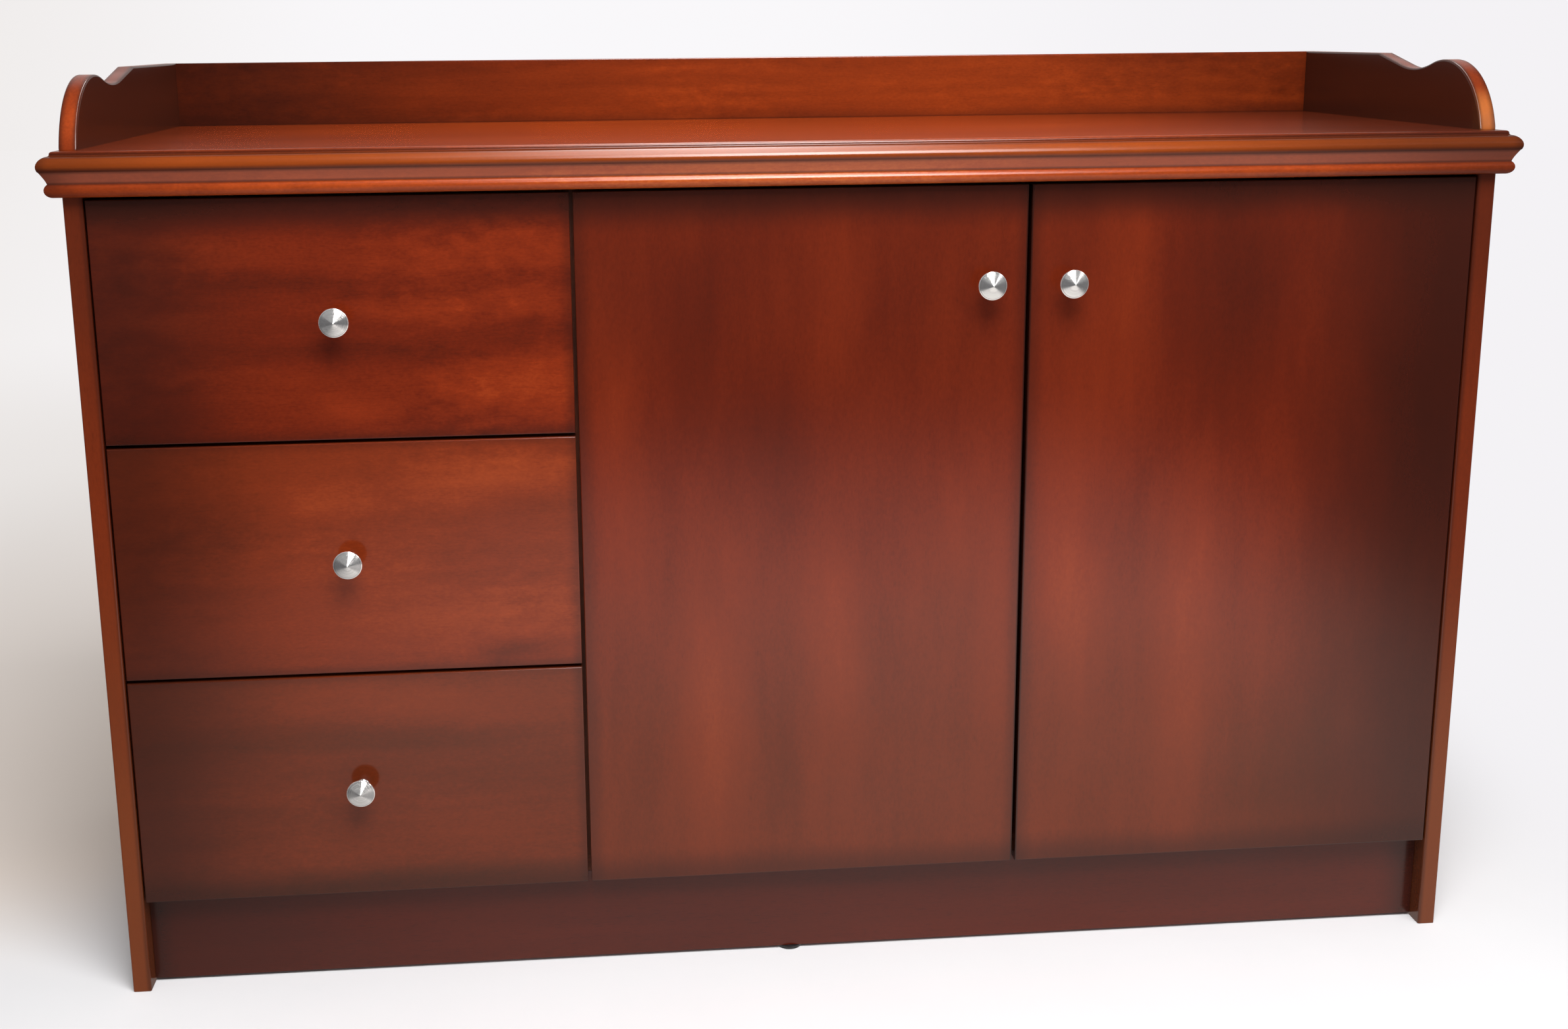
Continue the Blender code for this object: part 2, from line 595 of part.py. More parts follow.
def build_drawer(number):
    """One drawer with its front, box, knob and slides, and the two runners on the carcase."""
    name = f"drawer_{number}"
    front_z = FRONTS_TOP_Z - number * DRAWER_FRONT_HEIGHT - (number - 1) * FRONT_GAP
    foot_z = front_z + DRAWER_FOOT
    head_z = foot_z + DRAWER_SIDE_HEIGHT
    start_y = FRONT_BACK_Y + FIT
    end_y = DRAWER_BACK_Y
    left_x = -INNER_X + RUNNER_GAP
    right_x = DIVIDER_LEFT_X - RUNNER_GAP
    panel_z = foot_z + DRAWER_GROOVE_HEIGHT
    groove_low_z = panel_z - FIT
    groove_high_z = panel_z + DRAWER_BOTTOM_THICKNESS + FIT
    groove_left_x = left_x + DRAWER_SIDE_THICKNESS - DRAWER_GROOVE_DEPTH
    groove_right_x = right_x - DRAWER_SIDE_THICKNESS + DRAWER_GROOVE_DEPTH

    front = add_front(f"{name}_front", DRAWER_LEFT_X, DRAWER_RIGHT_X, front_z, front_z + DRAWER_FRONT_HEIGHT)
    front_groove = box_mesh(
        (groove_left_x, FRONT_BACK_Y - DRAWER_GROOVE_DEPTH, groove_low_z),
        (groove_right_x, FRONT_BACK_Y + CUT_THROUGH, groove_high_z),
    )
    combine(front, front_groove, "DIFFERENCE")
    pieces = [front]

    for side, outer_x, inwards in (("left", left_x, 1), ("right", right_x, -1)):
        side_x = sorted((outer_x, outer_x + inwards * DRAWER_SIDE_THICKNESS))
        low, high = (side_x[0], start_y, foot_z), (side_x[1], end_y, head_z)
        board = add_board(f"{name}_{side}_side", low, high, PALE_WOOD)
        inner_x = outer_x + inwards * DRAWER_SIDE_THICKNESS
        groove_x = sorted((inner_x - inwards * DRAWER_GROOVE_DEPTH, inner_x + inwards * CUT_THROUGH))
        groove = box_mesh(
            (groove_x[0], start_y - CUT_THROUGH, groove_low_z),
            (groove_x[1], end_y + CUT_THROUGH, groove_high_z),
        )
        combine(board, groove, "DIFFERENCE")
        pieces.append(board)

    between_left_x = left_x + DRAWER_SIDE_THICKNESS + FIT
    between_right_x = right_x - DRAWER_SIDE_THICKNESS - FIT
    pieces.append(
        add_board(
            f"{name}_back",
            (between_left_x, end_y - DRAWER_BACK_THICKNESS, groove_high_z),
            (between_right_x, end_y, head_z),
            PALE_WOOD,
        )
    )
    pieces.append(
        add_board(
            f"{name}_bottom",
            (groove_left_x + GROOVE_END_PLAY, FRONT_BACK_Y - DRAWER_GROOVE_DEPTH + GROOVE_END_PLAY, panel_z),
            (groove_right_x - GROOVE_END_PLAY, end_y, panel_z + DRAWER_BOTTOM_THICKNESS),
            PANEL,
        )
    )
    middle_x = (DRAWER_LEFT_X + DRAWER_RIGHT_X) / 2
    middle_z = front_z + DRAWER_FRONT_HEIGHT / 2
    pieces.append(add_knob(f"{name}_knob", middle_x, middle_z))

    for side, wall_x, inwards in (("left", -INNER_X, 1), ("right", DIVIDER_LEFT_X, -1)):
        add_runner(f"{name}_{side}_runner", wall_x, inwards, foot_z)
        pieces.append(add_slide(f"{name}_{side}_slide", wall_x, inwards, foot_z, start_y, end_y))
    carry(add_pivot(f"{name}_pivot", (middle_x, FRONT_Y, middle_z)), pieces)


def add_runner(name, wall_x, inwards, foot_z):
    """The carcase half of a runner: a channel against the wall, with a roller at its front end."""
    low, high = -CHANNEL_FOOT, -CHANNEL_FOOT + CHANNEL_HEIGHT
    web, tip = FIT + RUNNER_SHEET, FIT + RUNNER_SHEET + CHANNEL_FLANGE
    section = [
        (FIT, low),
        (tip, low),
        (tip, low + RUNNER_SHEET),
        (web, low + RUNNER_SHEET),
        (web, high - RUNNER_SHEET),
        (tip, high - RUNNER_SHEET),
        (tip, high),
        (FIT, high),
    ]
    start_y = CARCASE_FRONT_Y + RUNNER_SETBACK
    outline = [(wall_x + inwards * out, foot_z + up) for out, up in section]
    runner = add_piece(outline_mesh(outline, "Y", start_y, RUNNER_BACK_Y), name, WHITE_ENAMEL)
    axle_z = foot_z + high + ROLLER_RISE - ROLLER_RADIUS
    roller_out = FIT + RUNNER_SHEET / 2
    add_roller(runner, wall_x, inwards, roller_out, tip - FIT - roller_out, start_y + ROLLER_END, axle_z)
    return runner


def add_slide(name, wall_x, inwards, foot_z, start_y, end_y):
    """The drawer's half of a runner: it carries the side's lower edge, and its roller runs in the channel."""
    web_out = RUNNER_GAP - FIT - RUNNER_SHEET
    web_in = RUNNER_GAP - FIT
    seat = -FIT - RUNNER_SHEET
    rail = -CHANNEL_FOOT + CHANNEL_HEIGHT + ROLLER_RISE + FIT
    flange_end = RUNNER_GAP + DRAWER_SIDE_THICKNESS
    section = [
        (ROLLER_TIP, rail),
        (web_out, rail),
        (web_out, seat),
        (flange_end, seat),
        (flange_end, seat + RUNNER_SHEET),
        (web_in, seat + RUNNER_SHEET),
        (web_in, rail + RUNNER_SHEET),
        (ROLLER_TIP, rail + RUNNER_SHEET),
    ]
    outline = [(wall_x + inwards * out, foot_z + up) for out, up in section]
    slide = add_piece(outline_mesh(outline, "Y", start_y, end_y), name, WHITE_ENAMEL)
    axle_z = foot_z - CHANNEL_FOOT + RUNNER_SHEET + FIT + ROLLER_RADIUS
    length = web_out + RUNNER_SHEET / 2 - ROLLER_TIP
    add_roller(slide, wall_x, inwards, ROLLER_TIP, length, end_y - ROLLER_END, axle_z)
    return slide


def add_roller(rail, wall_x, inwards, out, length, axle_y, axle_z):
    """A nylon roller riveted to a rail, which starts at the distance out from the wall."""
    start = (wall_x + inwards * out, axle_y, axle_z)
    combine(rail, cylinder_mesh(ROLLER_RADIUS, start, (inwards, 0, 0), length, ROLLER_SEGMENTS), "UNION")


def wing_outline(x, z):
    """A strip with round ends, upright over a hinge cup's middle."""
    radius = WING_WIDTH / 2
    reach = WING_LENGTH / 2 - radius
    upper = arc((x, z + reach), radius, -math.pi / 2, math.pi / 2, WING_END_STEPS)
    lower = arc((x, z - reach), radius, math.pi / 2, 3 * math.pi / 2, WING_END_STEPS)
    return [*upper, *lower]


def add_cup(name, door, x, z):
    """A hinge cup sunk in the door's back, with a wing to screw through above and below it."""
    mouth_y = FRONT_BACK_Y + CUP_RIM
    floor_y = FRONT_BACK_Y - CUP_DEPTH
    shell = cylinder_mesh(CUP_RADIUS, (x, floor_y, z), (0, 1, 0), mouth_y - floor_y, ROUND_SEGMENTS)
    cup = add_piece(shell, name, STEEL)
    wing_y = FRONT_BACK_Y + FIT
    combine(cup, outline_mesh(wing_outline(x, z), "Y", wing_y, wing_y + WING_THICKNESS), "UNION")
    bowl_y = floor_y + CUP_WALL
    depth = wing_y + WING_THICKNESS + CUT_THROUGH - bowl_y
    bowl = cylinder_mesh(CUP_RADIUS - CUP_WALL, (x, bowl_y, z), (0, 1, 0), depth, ROUND_SEGMENTS)
    combine(cup, bowl, "DIFFERENCE")
    pocket_y = floor_y - FIT
    depth = FRONT_BACK_Y + CUT_THROUGH - pocket_y
    pocket = cylinder_mesh(CUP_RADIUS + FIT, (x, pocket_y, z), (0, 1, 0), depth, ROUND_SEGMENTS)
    combine(door, pocket, "DIFFERENCE")
    return cup


def plate_outline(y, z):
    """A mounting plate seen from the side: a waist along the arm, and wings that taper to the screws."""
    before, behind = y - PLATE_LENGTH / 2, y + PLATE_LENGTH / 2
    waist, wide, wing = PLATE_WAIST / 2, PLATE_WIDTH / 2, PLATE_WING / 2
    upper = [(behind, waist), (y + wing, wide), (y - wing, wide), (before, waist)]
    lower = [(before, -waist), (y - wing, -wide), (y + wing, -wide), (behind, -waist)]
    return [(along, z + up) for along, up in [*upper, *lower]]


def add_arm(name, wall_x, inwards, cup_out, z):
    """A hinge arm on its plate: it runs forwards along the wall, then cranks into the cup's mouth."""
    nose_y = FRONT_BACK_Y + FIT + WING_THICKNESS + ARM_CLEARANCE
    tongue_y = FRONT_BACK_Y - CUP_DEPTH + CUP_WALL + FIT
    shoulder_y = nose_y + NOSE_THICKNESS
    seat = FIT + PLATE_THICKNESS - ARM_SINK
    back = seat + ARM_THICKNESS
    tip = cup_out + ARM_REACH
    bend = max(back, tip - NOSE_THICKNESS)
    plan = [
        (seat, nose_y),
        (tip - TONGUE_WIDTH, nose_y),
        (tip - TONGUE_WIDTH, tongue_y),
        (tip, tongue_y),
        (tip, shoulder_y - NOSE_CHAMFER),
        (tip - NOSE_CHAMFER, shoulder_y),
        (bend, shoulder_y),
        (back, shoulder_y + bend - back + NOSE_CHAMFER),
        (back, nose_y + ARM_LENGTH),
        (seat, nose_y + ARM_LENGTH),
    ]
    outline = [(wall_x + inwards * out, y) for out, y in plan]
    arm = add_piece(outline_mesh(outline, "Z", z - ARM_WIDTH / 2, z + ARM_WIDTH / 2), name, STEEL)
    plate_y = CARCASE_FRONT_Y + PLATE_SETBACK
    slot_x = sorted((wall_x + inwards * (seat - CUT_THROUGH), wall_x + inwards * (back + CUT_THROUGH)))
    slot = box_mesh(
        (slot_x[0], plate_y - ARM_SLOT_LENGTH / 2, z - ARM_SLOT_WIDTH / 2),
        (slot_x[1], plate_y + ARM_SLOT_LENGTH / 2, z + ARM_SLOT_WIDTH / 2),
    )
    combine(arm, slot, "DIFFERENCE")
    start_x, end_x = wall_x + inwards * FIT, wall_x + inwards * (FIT + PLATE_THICKNESS)
    combine(arm, outline_mesh(plate_outline(plate_y, z), "X", start_x, end_x), "UNION")


def build_door(side):
    """A door with its knob and hinge cups, and the hinge arms on the carcase."""
    if side == LEFT:
        name, edges = "left_door", (LEFT_DOOR_LEFT_X, LEFT_DOOR_RIGHT_X)
        hinge_x, wall_x, inwards = LEFT_DOOR_LEFT_X, DIVIDER_RIGHT_X, 1
    else:
        name, edges = "right_door", (RIGHT_DOOR_LEFT_X, RIGHT_DOOR_RIGHT_X)
        hinge_x, wall_x, inwards = RIGHT_DOOR_RIGHT_X, INNER_X, -1
    door = add_front(name, *edges, FRONTS_BOTTOM_Z, FRONTS_TOP_Z)
    free_x = edges[1] if side == LEFT else edges[0]
    knob = add_knob(f"{name}_knob", free_x - inwards * KNOB_FROM_EDGE, FRONTS_TOP_Z - KNOB_FROM_TOP)
    pieces = [door, knob]
    cup_x = hinge_x + inwards * (CUP_MARGIN + CUP_RADIUS)
    heights = (("upper", FRONTS_TOP_Z - HINGE_FROM_END), ("lower", FRONTS_BOTTOM_Z + HINGE_FROM_END))
    for level, z in heights:
        pieces.append(add_cup(f"{name}_{level}_cup", door, cup_x, z))
        add_arm(f"{name}_{level}_arm", wall_x, inwards, inwards * (cup_x - wall_x), z)
    carry(add_pivot(f"{name}_pivot", (hinge_x, FRONT_Y, FRONTS_BOTTOM_Z)), pieces)


clear_scene()
PARTS = new_collection("cupboard")
TOOLS = new_collection("cutters")
MAHOGANY = new_material("mahogany", (0.170, 0.027, 0.009), 0.28)
INSIDE = new_material("mahogany_veneer", (0.150, 0.033, 0.014), 0.45)
PANEL = new_material("plywood_panel", (0.300, 0.130, 0.060), 0.60)
PALE_WOOD = new_material("pale_wood", (0.520, 0.330, 0.170), 0.55)
BRUSHED_STEEL = new_material("brushed_steel", (0.620, 0.610, 0.590), 0.25, 1.0)
STEEL = new_material("nickel_plated_steel", (0.560, 0.560, 0.560), 0.30, 1.0)
WHITE_ENAMEL = new_material("white_enamel", (0.800, 0.790, 0.760), 0.40)
BLACK_PLASTIC = new_material("black_plastic", (0.020, 0.020, 0.020), 0.50)

for panel_side in (LEFT, RIGHT):
    build_side_panel(panel_side)
build_carcase()
build_plinth_glide()
build_shelf()
build_top_board()
build_cornice()
build_gallery()
for drawer_number in range(1, DRAWER_COUNT + 1):
    build_drawer(drawer_number)
for door_side in (LEFT, RIGHT):
    build_door(door_side)
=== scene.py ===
"""The looks of a low cupboard in red-brown lacquered mahogany.

Three drawers on the left and two doors on the right, under a moulded top with a low scrolled gallery.
Units are metres, Z is up, and the front faces -Y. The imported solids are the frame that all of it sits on.
"""

import logging
import math
from collections.abc import Callable, Sequence
from dataclasses import dataclass
from enum import Enum
from typing import Union

import bmesh
import bpy
from mathutils import Matrix, Vector


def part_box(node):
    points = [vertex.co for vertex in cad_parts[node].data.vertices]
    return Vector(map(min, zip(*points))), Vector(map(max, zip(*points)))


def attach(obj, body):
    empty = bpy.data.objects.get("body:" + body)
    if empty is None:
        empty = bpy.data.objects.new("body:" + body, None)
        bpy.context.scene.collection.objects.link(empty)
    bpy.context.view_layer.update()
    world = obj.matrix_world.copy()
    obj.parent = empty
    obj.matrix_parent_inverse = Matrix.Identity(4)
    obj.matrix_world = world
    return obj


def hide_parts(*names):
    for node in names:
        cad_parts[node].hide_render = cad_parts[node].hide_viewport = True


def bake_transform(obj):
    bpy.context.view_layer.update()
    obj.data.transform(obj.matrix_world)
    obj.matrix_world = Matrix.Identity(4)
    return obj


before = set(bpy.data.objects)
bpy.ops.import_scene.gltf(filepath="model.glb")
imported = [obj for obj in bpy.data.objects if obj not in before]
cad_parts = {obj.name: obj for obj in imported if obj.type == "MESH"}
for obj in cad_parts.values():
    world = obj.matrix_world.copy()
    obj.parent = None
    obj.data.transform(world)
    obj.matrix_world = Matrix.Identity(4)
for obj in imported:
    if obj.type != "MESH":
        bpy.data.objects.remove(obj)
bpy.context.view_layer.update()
LOG = logging.getLogger("cupboard")

Point = tuple[float, float, float]
Colour = tuple[float, float, float]
Profile = Sequence[tuple[float, float]]
Value = Union["Wire", float]
Inputs = dict[int | str, Union["Wire", float, tuple[float, ...]]]
Row = tuple[float, ...]

WELD = 1e-6  # points nearer than this are one
FLUSH = 1e-5  # how near to a plane a point lies on it
X, Y, Z = range(3)
FRONT, BACK, DOWN = (0.0, -1.0, 0.0), (0.0, 1.0, 0.0), (0.0, 0.0, -1.0)
SIDES = {"left": -1, "right": 1}

# the dark of sprayed toner, and of the painted shade that most shades give
TONER_AND_SHADE = (0.020, 0.0050, 0.0031)
# painted shade on the gallery's inner faces, with some toner in it
GALLERY_INNER_SHADE = (0.032, 0.0095, 0.0060)
GLAZE = (0.100, 0.0400, 0.0120)  # a brown glaze over the red stain
FOOT_GLAZE = (0.200, 0.056, 0.0125)  # on the side panels, towards the floor
EDGE_GLAZE = (0.218, 0.0440, 0.0050)  # on the thumb moulding
COVE_REFLECTION = (0.36, 0.130, 0.085)  # a painted reflection of the pale floor in the cornice's hollow
END_WOOD_AND_GLINT = (0.480, 0.180, 0.045)  # lighter end wood under a painted warm highlight
VENEER = ((0.075, 0.020, 0.010), (0.20, 0.052, 0.022))  # the inside's dark and light wood


# Shader nodes, written as sums


def math_node(operation: str, swapped: bool = False) -> Callable[["Wire", Value], "Wire"]:
    """An operator for wires.

    Args:
        operation: The Math node's operation.
        swapped: Whether the other value comes first.

    Returns:
        The method that adds the node.
    """

    def method(wire: "Wire", other: Value) -> "Wire":
        """The result of the operation on the wire and another value."""
        return wire.sheet.add("ShaderNodeMath", {int(swapped): wire, int(not swapped): other}, operation=operation)

    return method


class Wire:
    """A socket that carries a value. Python's operators on it add the Math nodes."""

    __add__ = __radd__ = math_node("ADD")
    __sub__, __rsub__ = math_node("SUBTRACT"), math_node("SUBTRACT", swapped=True)
    __mul__ = __rmul__ = math_node("MULTIPLY")
    __truediv__, __pow__ = math_node("DIVIDE"), math_node("POWER")

    def __init__(self, sheet: "Sheet", socket: bpy.types.NodeSocket) -> None:
        """Keeps the socket and the sheet that it is drawn on."""
        self.sheet, self.socket = sheet, socket

    def size(self) -> "Wire":
        """The value without its sign."""
        return self.sheet.add("ShaderNodeMath", {0: self}, operation="ABSOLUTE")

    def step(self, low: float, high: float) -> "Wire":
        """A smooth step from 0 at low to 1 at high."""
        ends = {0: self, 1: min(low, high), 2: max(low, high), 3: float(low > high), 4: float(low < high)}
        return self.sheet.add("ShaderNodeMapRange", ends, interpolation_type="SMOOTHSTEP")

    def hump(self, middle: float, reach: float) -> "Wire":
        """A smooth hump, 1 in the middle and 0 at its reach to either side."""
        return (self - middle).size().step(reach, 0.0)


class Sheet:
    """The nodes of one material, or of the world."""

    def __init__(self, owner: bpy.types.Material | bpy.types.World) -> None:
        """Clears the owner's nodes."""
        owner.use_nodes = True
        self.tree = owner.node_tree
        self.tree.nodes.clear()
        self.output = "ShaderNodeOutputWorld" if isinstance(owner, bpy.types.World) else "ShaderNodeOutputMaterial"

    def add(self, kind: str, values: Inputs | None = None, output: int | str = 0,
            stops: Sequence[tuple[float, Colour]] = (), **settings: object) -> Wire:
        """Adds any node.

        Args:
            kind: The node's type.
            values: The values or links of its sockets, by number or name.
            output: The socket to go on from.
            stops: A colour ramp's places and colours.
            **settings: The node's own settings, which are set first.

        Returns:
            The chosen output.
        """
        node = self.tree.nodes.new(kind)
        for name, value in settings.items():
            setattr(node, name, value)
        if stops:
            elements = node.color_ramp.elements
            while len(elements) < len(stops):
                elements.new(1.0)
            for element, (place, colour) in zip(elements, stops):
                element.position, element.color = place, (*colour, 1.0)
        for key, value in (values or {}).items():
            socket = node.inputs[key]
            if isinstance(value, Wire):
                self.tree.links.new(value.socket, socket)
            elif isinstance(value, tuple) and len(socket.default_value) == 4:
                socket.default_value = (*value, 1.0)
            else:
                socket.default_value = value
        return Wire(self, node.outputs[output] if node.outputs else None)

    def split(self, vector: Wire) -> tuple[Wire, ...]:
        """A vector's three coordinates."""
        node = self.add("ShaderNodeSeparateXYZ", {0: vector}).socket.node
        return tuple(Wire(self, output) for output in node.outputs)

    def place(self) -> tuple[Wire, ...]:
        """The place on the object, as a vector and as its three coordinates."""
        vector = self.add("ShaderNodeTexCoord", output="Object")
        return (vector, *self.split(vector))

    def noise(self, at: Wire, scale: Point | float, seed: float = 0.0, detail: float = 2.0,
              rough: float = 0.5) -> Wire:
        """Noise about 0.5.

        Args:
            at: The place.
            scale: How many times a metre it changes, along X, Y and Z or along all three.
            seed: Moves the pattern.
            detail: How many finer layers it has.
            rough: How strong they are.

        Returns:
            The noise.
        """
        scale = scale if isinstance(scale, tuple) else (scale,) * 3
        moved = self.add("ShaderNodeMapping", {0: at, 1: (seed, seed * 1.7, -seed), 3: scale})
        values = {"Vector": moved, "Scale": 1.0, "Detail": detail, "Roughness": rough}
        return self.add("ShaderNodeTexNoise", values)

    def mix(self, first: "Wire | Colour", second: "Wire | Colour", share: Value) -> Wire:
        """A mix of two colours."""
        return self.add("ShaderNodeMix", {0: share, 6: first, 7: second}, output=2, data_type="RGBA")

    def choose(self, share: Wire, first: Wire, second: Wire) -> Wire:
        """A mix of two shaders."""
        return self.add("ShaderNodeMixShader", {0: share, 1: first, 2: second})

    def finish(self, surface: Wire) -> None:
        """Links a shader to the output."""
        self.add(self.output, {"Surface": surface})


def new_material(name: str) -> tuple[bpy.types.Material, Sheet]:
    """A material with an empty sheet of nodes."""
    material = bpy.data.materials.new(name)
    return material, Sheet(material)


# Finishes


class Grain(Enum):
    """The way that the grain runs."""

    X = X
    Y = Y
    Z = Z

    def stretch(self, along: float, across: float) -> Point:
        """A noise scale for a pattern drawn out along the grain."""
        return tuple(along if axis == self.value else across for axis in (X, Y, Z))


@dataclass(frozen=True)
class Figure:
    """How strongly the wood's figure shows.

    Bands and streaks run along the grain, and curl is how much shorter than usual they are. fine is the
    grain's own grit, and fleck the cloudy figure across it.
    """

    bands: float
    streaks: float
    fine: float
    fleck: float = 0.0
    curl: float = 1.0


@dataclass(frozen=True)
class Patch:
    """A lighter or darker patch: its middle and reach across the grain and along it, and its strength."""

    across: float
    reach: float
    along: float
    length: float
    strength: float


def patches(rows: Sequence[Row], middle: float = 0.0) -> tuple[Patch, ...]:
    """Patches from rows of their numbers, with their places across the grain taken from a middle."""
    return tuple(Patch(middle + across, *rest) for across, *rest in rows)


@dataclass(frozen=True)
class Shade:
    """Darkening along an edge, sprayed toner on some pieces and painted shade on others: its axis, its place on it,
    how far it reaches and its strength. Other colours give glazes, painted reflections and painted highlights.

    It has its full strength up to the distance full.
    """

    axis: int
    at: float
    reach: float
    strength: float
    full: float = 0.0
    colour: Colour = TONER_AND_SHADE


class Stain(Enum):
    """A stain, as the colours that it gives from dark wood to light wood."""

    RED = (
        (0.00, (0.018, 0.0042, 0.0024)),
        (0.25, (0.050, 0.0066, 0.0027)),
        (0.45, (0.108, 0.0110, 0.0029)),
        (0.62, (0.172, 0.0186, 0.0038)),
        (0.80, (0.262, 0.0350, 0.0064)),
        (1.00, (0.420, 0.0880, 0.0160)),
    )
    AMBER = (
        (0.00, (0.018, 0.0046, 0.0026)),
        (0.25, (0.052, 0.0082, 0.0032)),
        (0.45, (0.112, 0.0155, 0.0038)),
        (0.62, (0.180, 0.0255, 0.0048)),
        (0.80, (0.290, 0.0440, 0.0070)),
        (1.00, (0.500, 0.1150, 0.0210)),
    )


@dataclass(frozen=True)
class Finish:
    """A finish. Each kind of it says what its Principled shader is given."""

    name: str

    def surface(self, sheet: Sheet, at: Wire, *axes: Wire) -> Inputs:
        """Draws the finish.

        Args:
            sheet: The material's sheet of nodes.
            at: The place on the object.
            *axes: Its three coordinates.

        Returns:
            The shader's inputs.
        """
        raise NotImplementedError

    def make(self) -> bpy.types.Material:
        """A material with the finish."""
        material, sheet = new_material(self.name)
        sheet.finish(sheet.add("ShaderNodeBsdfPrincipled", self.surface(sheet, *sheet.place())))
        return material


@dataclass(frozen=True)
class Mahogany(Finish):
    """Stained mahogany under gloss lacquer. gloss is the lacquer's roughness, and coat its weight."""

    grain: Grain
    seed: float
    tone: float
    stain: Stain
    figure: Figure
    patches: tuple[Patch, ...] = ()
    shades: tuple[Shade, ...] = ()
    gloss: float = 0.14
    coat: float = 1.0

    def colour(self, sheet: Sheet, at: Wire, axes: Sequence[Wire], grit: Wire, pores: Wire) -> Wire:
        """The wood's colour.

        Args:
            sheet: The finish's sheet of nodes.
            at: The place.
            axes: Its three coordinates.
            grit: The grain's own grit.
            pores: Where the pores are.

        Returns:
            The colour, with its patches and its shades: toner, glazes, painted shade, and a painted reflection and a
            painted highlight here and there.
        """
        figure, stretch = self.figure, self.grain.stretch
        wander = sheet.noise(at, 5.0, self.seed + 5.0, 3.0) - 0.5
        across = axes[X if self.grain is Grain.Z else Z] + wander * 0.05
        along = axes[self.grain.value] + wander * 0.12
        bands = sheet.noise(at, stretch(1.5 * figure.curl, 14.0), self.seed, 3.0) - 0.5
        streaks = sheet.noise(at, stretch(5.0 * figure.curl, 60.0), self.seed + 1.0, 3.0) - 0.5
        tone = self.tone + bands * figure.bands + streaks * figure.streaks + (grit - 0.5) * figure.fine
        if figure.fleck:
            cloud = sheet.noise(at, stretch(5.0, 14.0), self.seed + 4.0).step(0.38, 0.62) * 0.8 + 0.2
            fleck = sheet.noise(at, stretch(38.0, 80.0), self.seed + 3.0, 4.0, 0.65) - 0.48
            tone += fleck * cloud * figure.fleck
        for patch in self.patches:
            near = across.hump(patch.across, patch.reach) * along.hump(patch.along, patch.length)
            tone += near * patch.strength
        colour = sheet.add("ShaderNodeValToRGB", {0: tone + pores * -0.05}, stops=self.stain.value)
        for shade in self.shades:
            place = axes[shade.axis] + wander * shade.reach * 0.4
            dark = (place - shade.at).size().step(shade.reach, shade.full) * shade.strength
            colour = sheet.mix(colour, shade.colour, dark)
        return colour

    def surface(self, sheet: Sheet, at: Wire, *axes: Wire) -> Inputs:
        """The wood's colour under a gloss coat with a faint orange peel."""
        grit = sheet.noise(at, self.grain.stretch(230.0, 420.0), self.seed + 2.0, 3.0, 0.6)
        pores = sheet.noise(at, self.grain.stretch(90.0, 1300.0), self.seed + 6.0, 1.0).step(0.58, 0.72)
        height = sheet.noise(at, 26.0, self.seed + 7.0, 1.0) * 0.008 + pores * -0.0007
        return {
            "Base Color": self.colour(sheet, at, axes, grit, pores), "Roughness": 0.45 + grit * 0.1,
            "Normal": sheet.add("ShaderNodeBump", {"Height": height, "Distance": 0.004}),
            "Specular IOR Level": 0.0, "Coat Weight": self.coat, "Coat Roughness": self.gloss, "Coat IOR": 1.5,
        }


@dataclass(frozen=True)
class PlainWood(Finish):
    """Wood or veneer with a thin satin finish, or none."""

    grain: Grain
    dark: Colour
    light: Colour
    seed: float
    roughness: float

    def surface(self, sheet: Sheet, at: Wire, *axes: Wire) -> Inputs:
        """Broad bands, streaks and dashes along the grain."""
        broad = sheet.noise(at, self.grain.stretch(0.7, 9.0), self.seed, 2.0, 0.45)
        band = sheet.noise(at, self.grain.stretch(1.6, 46.0), self.seed + 3.0, 3.0)
        fine = sheet.noise(at, self.grain.stretch(9.0, 300.0), self.seed + 1.0, 3.0)
        dash = sheet.noise(at, self.grain.stretch(60.0, 900.0), self.seed + 2.0, 1.0).step(0.58, 0.70)
        tone = broad.step(0.2, 0.8) * 0.30 + band.step(0.28, 0.72) * 0.35 + fine.step(0.25, 0.75) * 0.35
        return {
            "Base Color": sheet.mix(self.dark, self.light, (tone - dash * 0.25).step(0.0, 1.0)),
            "Roughness": fine * 0.12 + (self.roughness - 0.06), "Specular IOR Level": 0.25,
            "Normal": sheet.add("ShaderNodeBump", {"Height": fine - dash, "Strength": 0.12, "Distance": 0.0004}),
        }


@dataclass(frozen=True)
class Metal(Finish):
    """Plated or stainless steel, with the fine marks of its making."""

    colour: Colour
    roughness: float
    seed: float

    def surface(self, sheet: Sheet, at: Wire, *axes: Wire) -> Inputs:
        """A metal that is a little darker and smoother in clouds."""
        cloud, marks = sheet.noise(at, 60.0, self.seed, 3.0), sheet.noise(at, 2600.0, self.seed + 1.0)
        dark = tuple(0.82 * part for part in self.colour)
        return {
            "Base Color": sheet.mix(dark, self.colour, cloud.step(0.3, 0.6)), "Metallic": 1.0,
            "Roughness": cloud * 0.12 + (self.roughness - 0.06),
            "Normal": sheet.add("ShaderNodeBump", {"Height": marks, "Strength": 0.12, "Distance": 0.0002}),
        }


@dataclass(frozen=True)
class Coating(Finish):
    """Enamel on steel, or moulded plastic. texture is how fine its skin is, and depth how strong."""

    colour: Colour
    roughness: float
    texture: float
    depth: float

    def surface(self, sheet: Sheet, at: Wire, *axes: Wire) -> Inputs:
        """A skin that is a little darker in clouds."""
        cloud, skin = sheet.noise(at, 25.0, 3.0, 3.0), sheet.noise(at, self.texture, 5.0)
        dark = tuple(0.88 * part for part in self.colour)
        return {
            "Base Color": sheet.mix(dark, self.colour, cloud.step(0.3, 0.6)),
            "Roughness": skin * 0.1 + (self.roughness - 0.05),
            "Normal": sheet.add("ShaderNodeBump", {"Height": skin, "Strength": self.depth, "Distance": 0.0003}),
        }


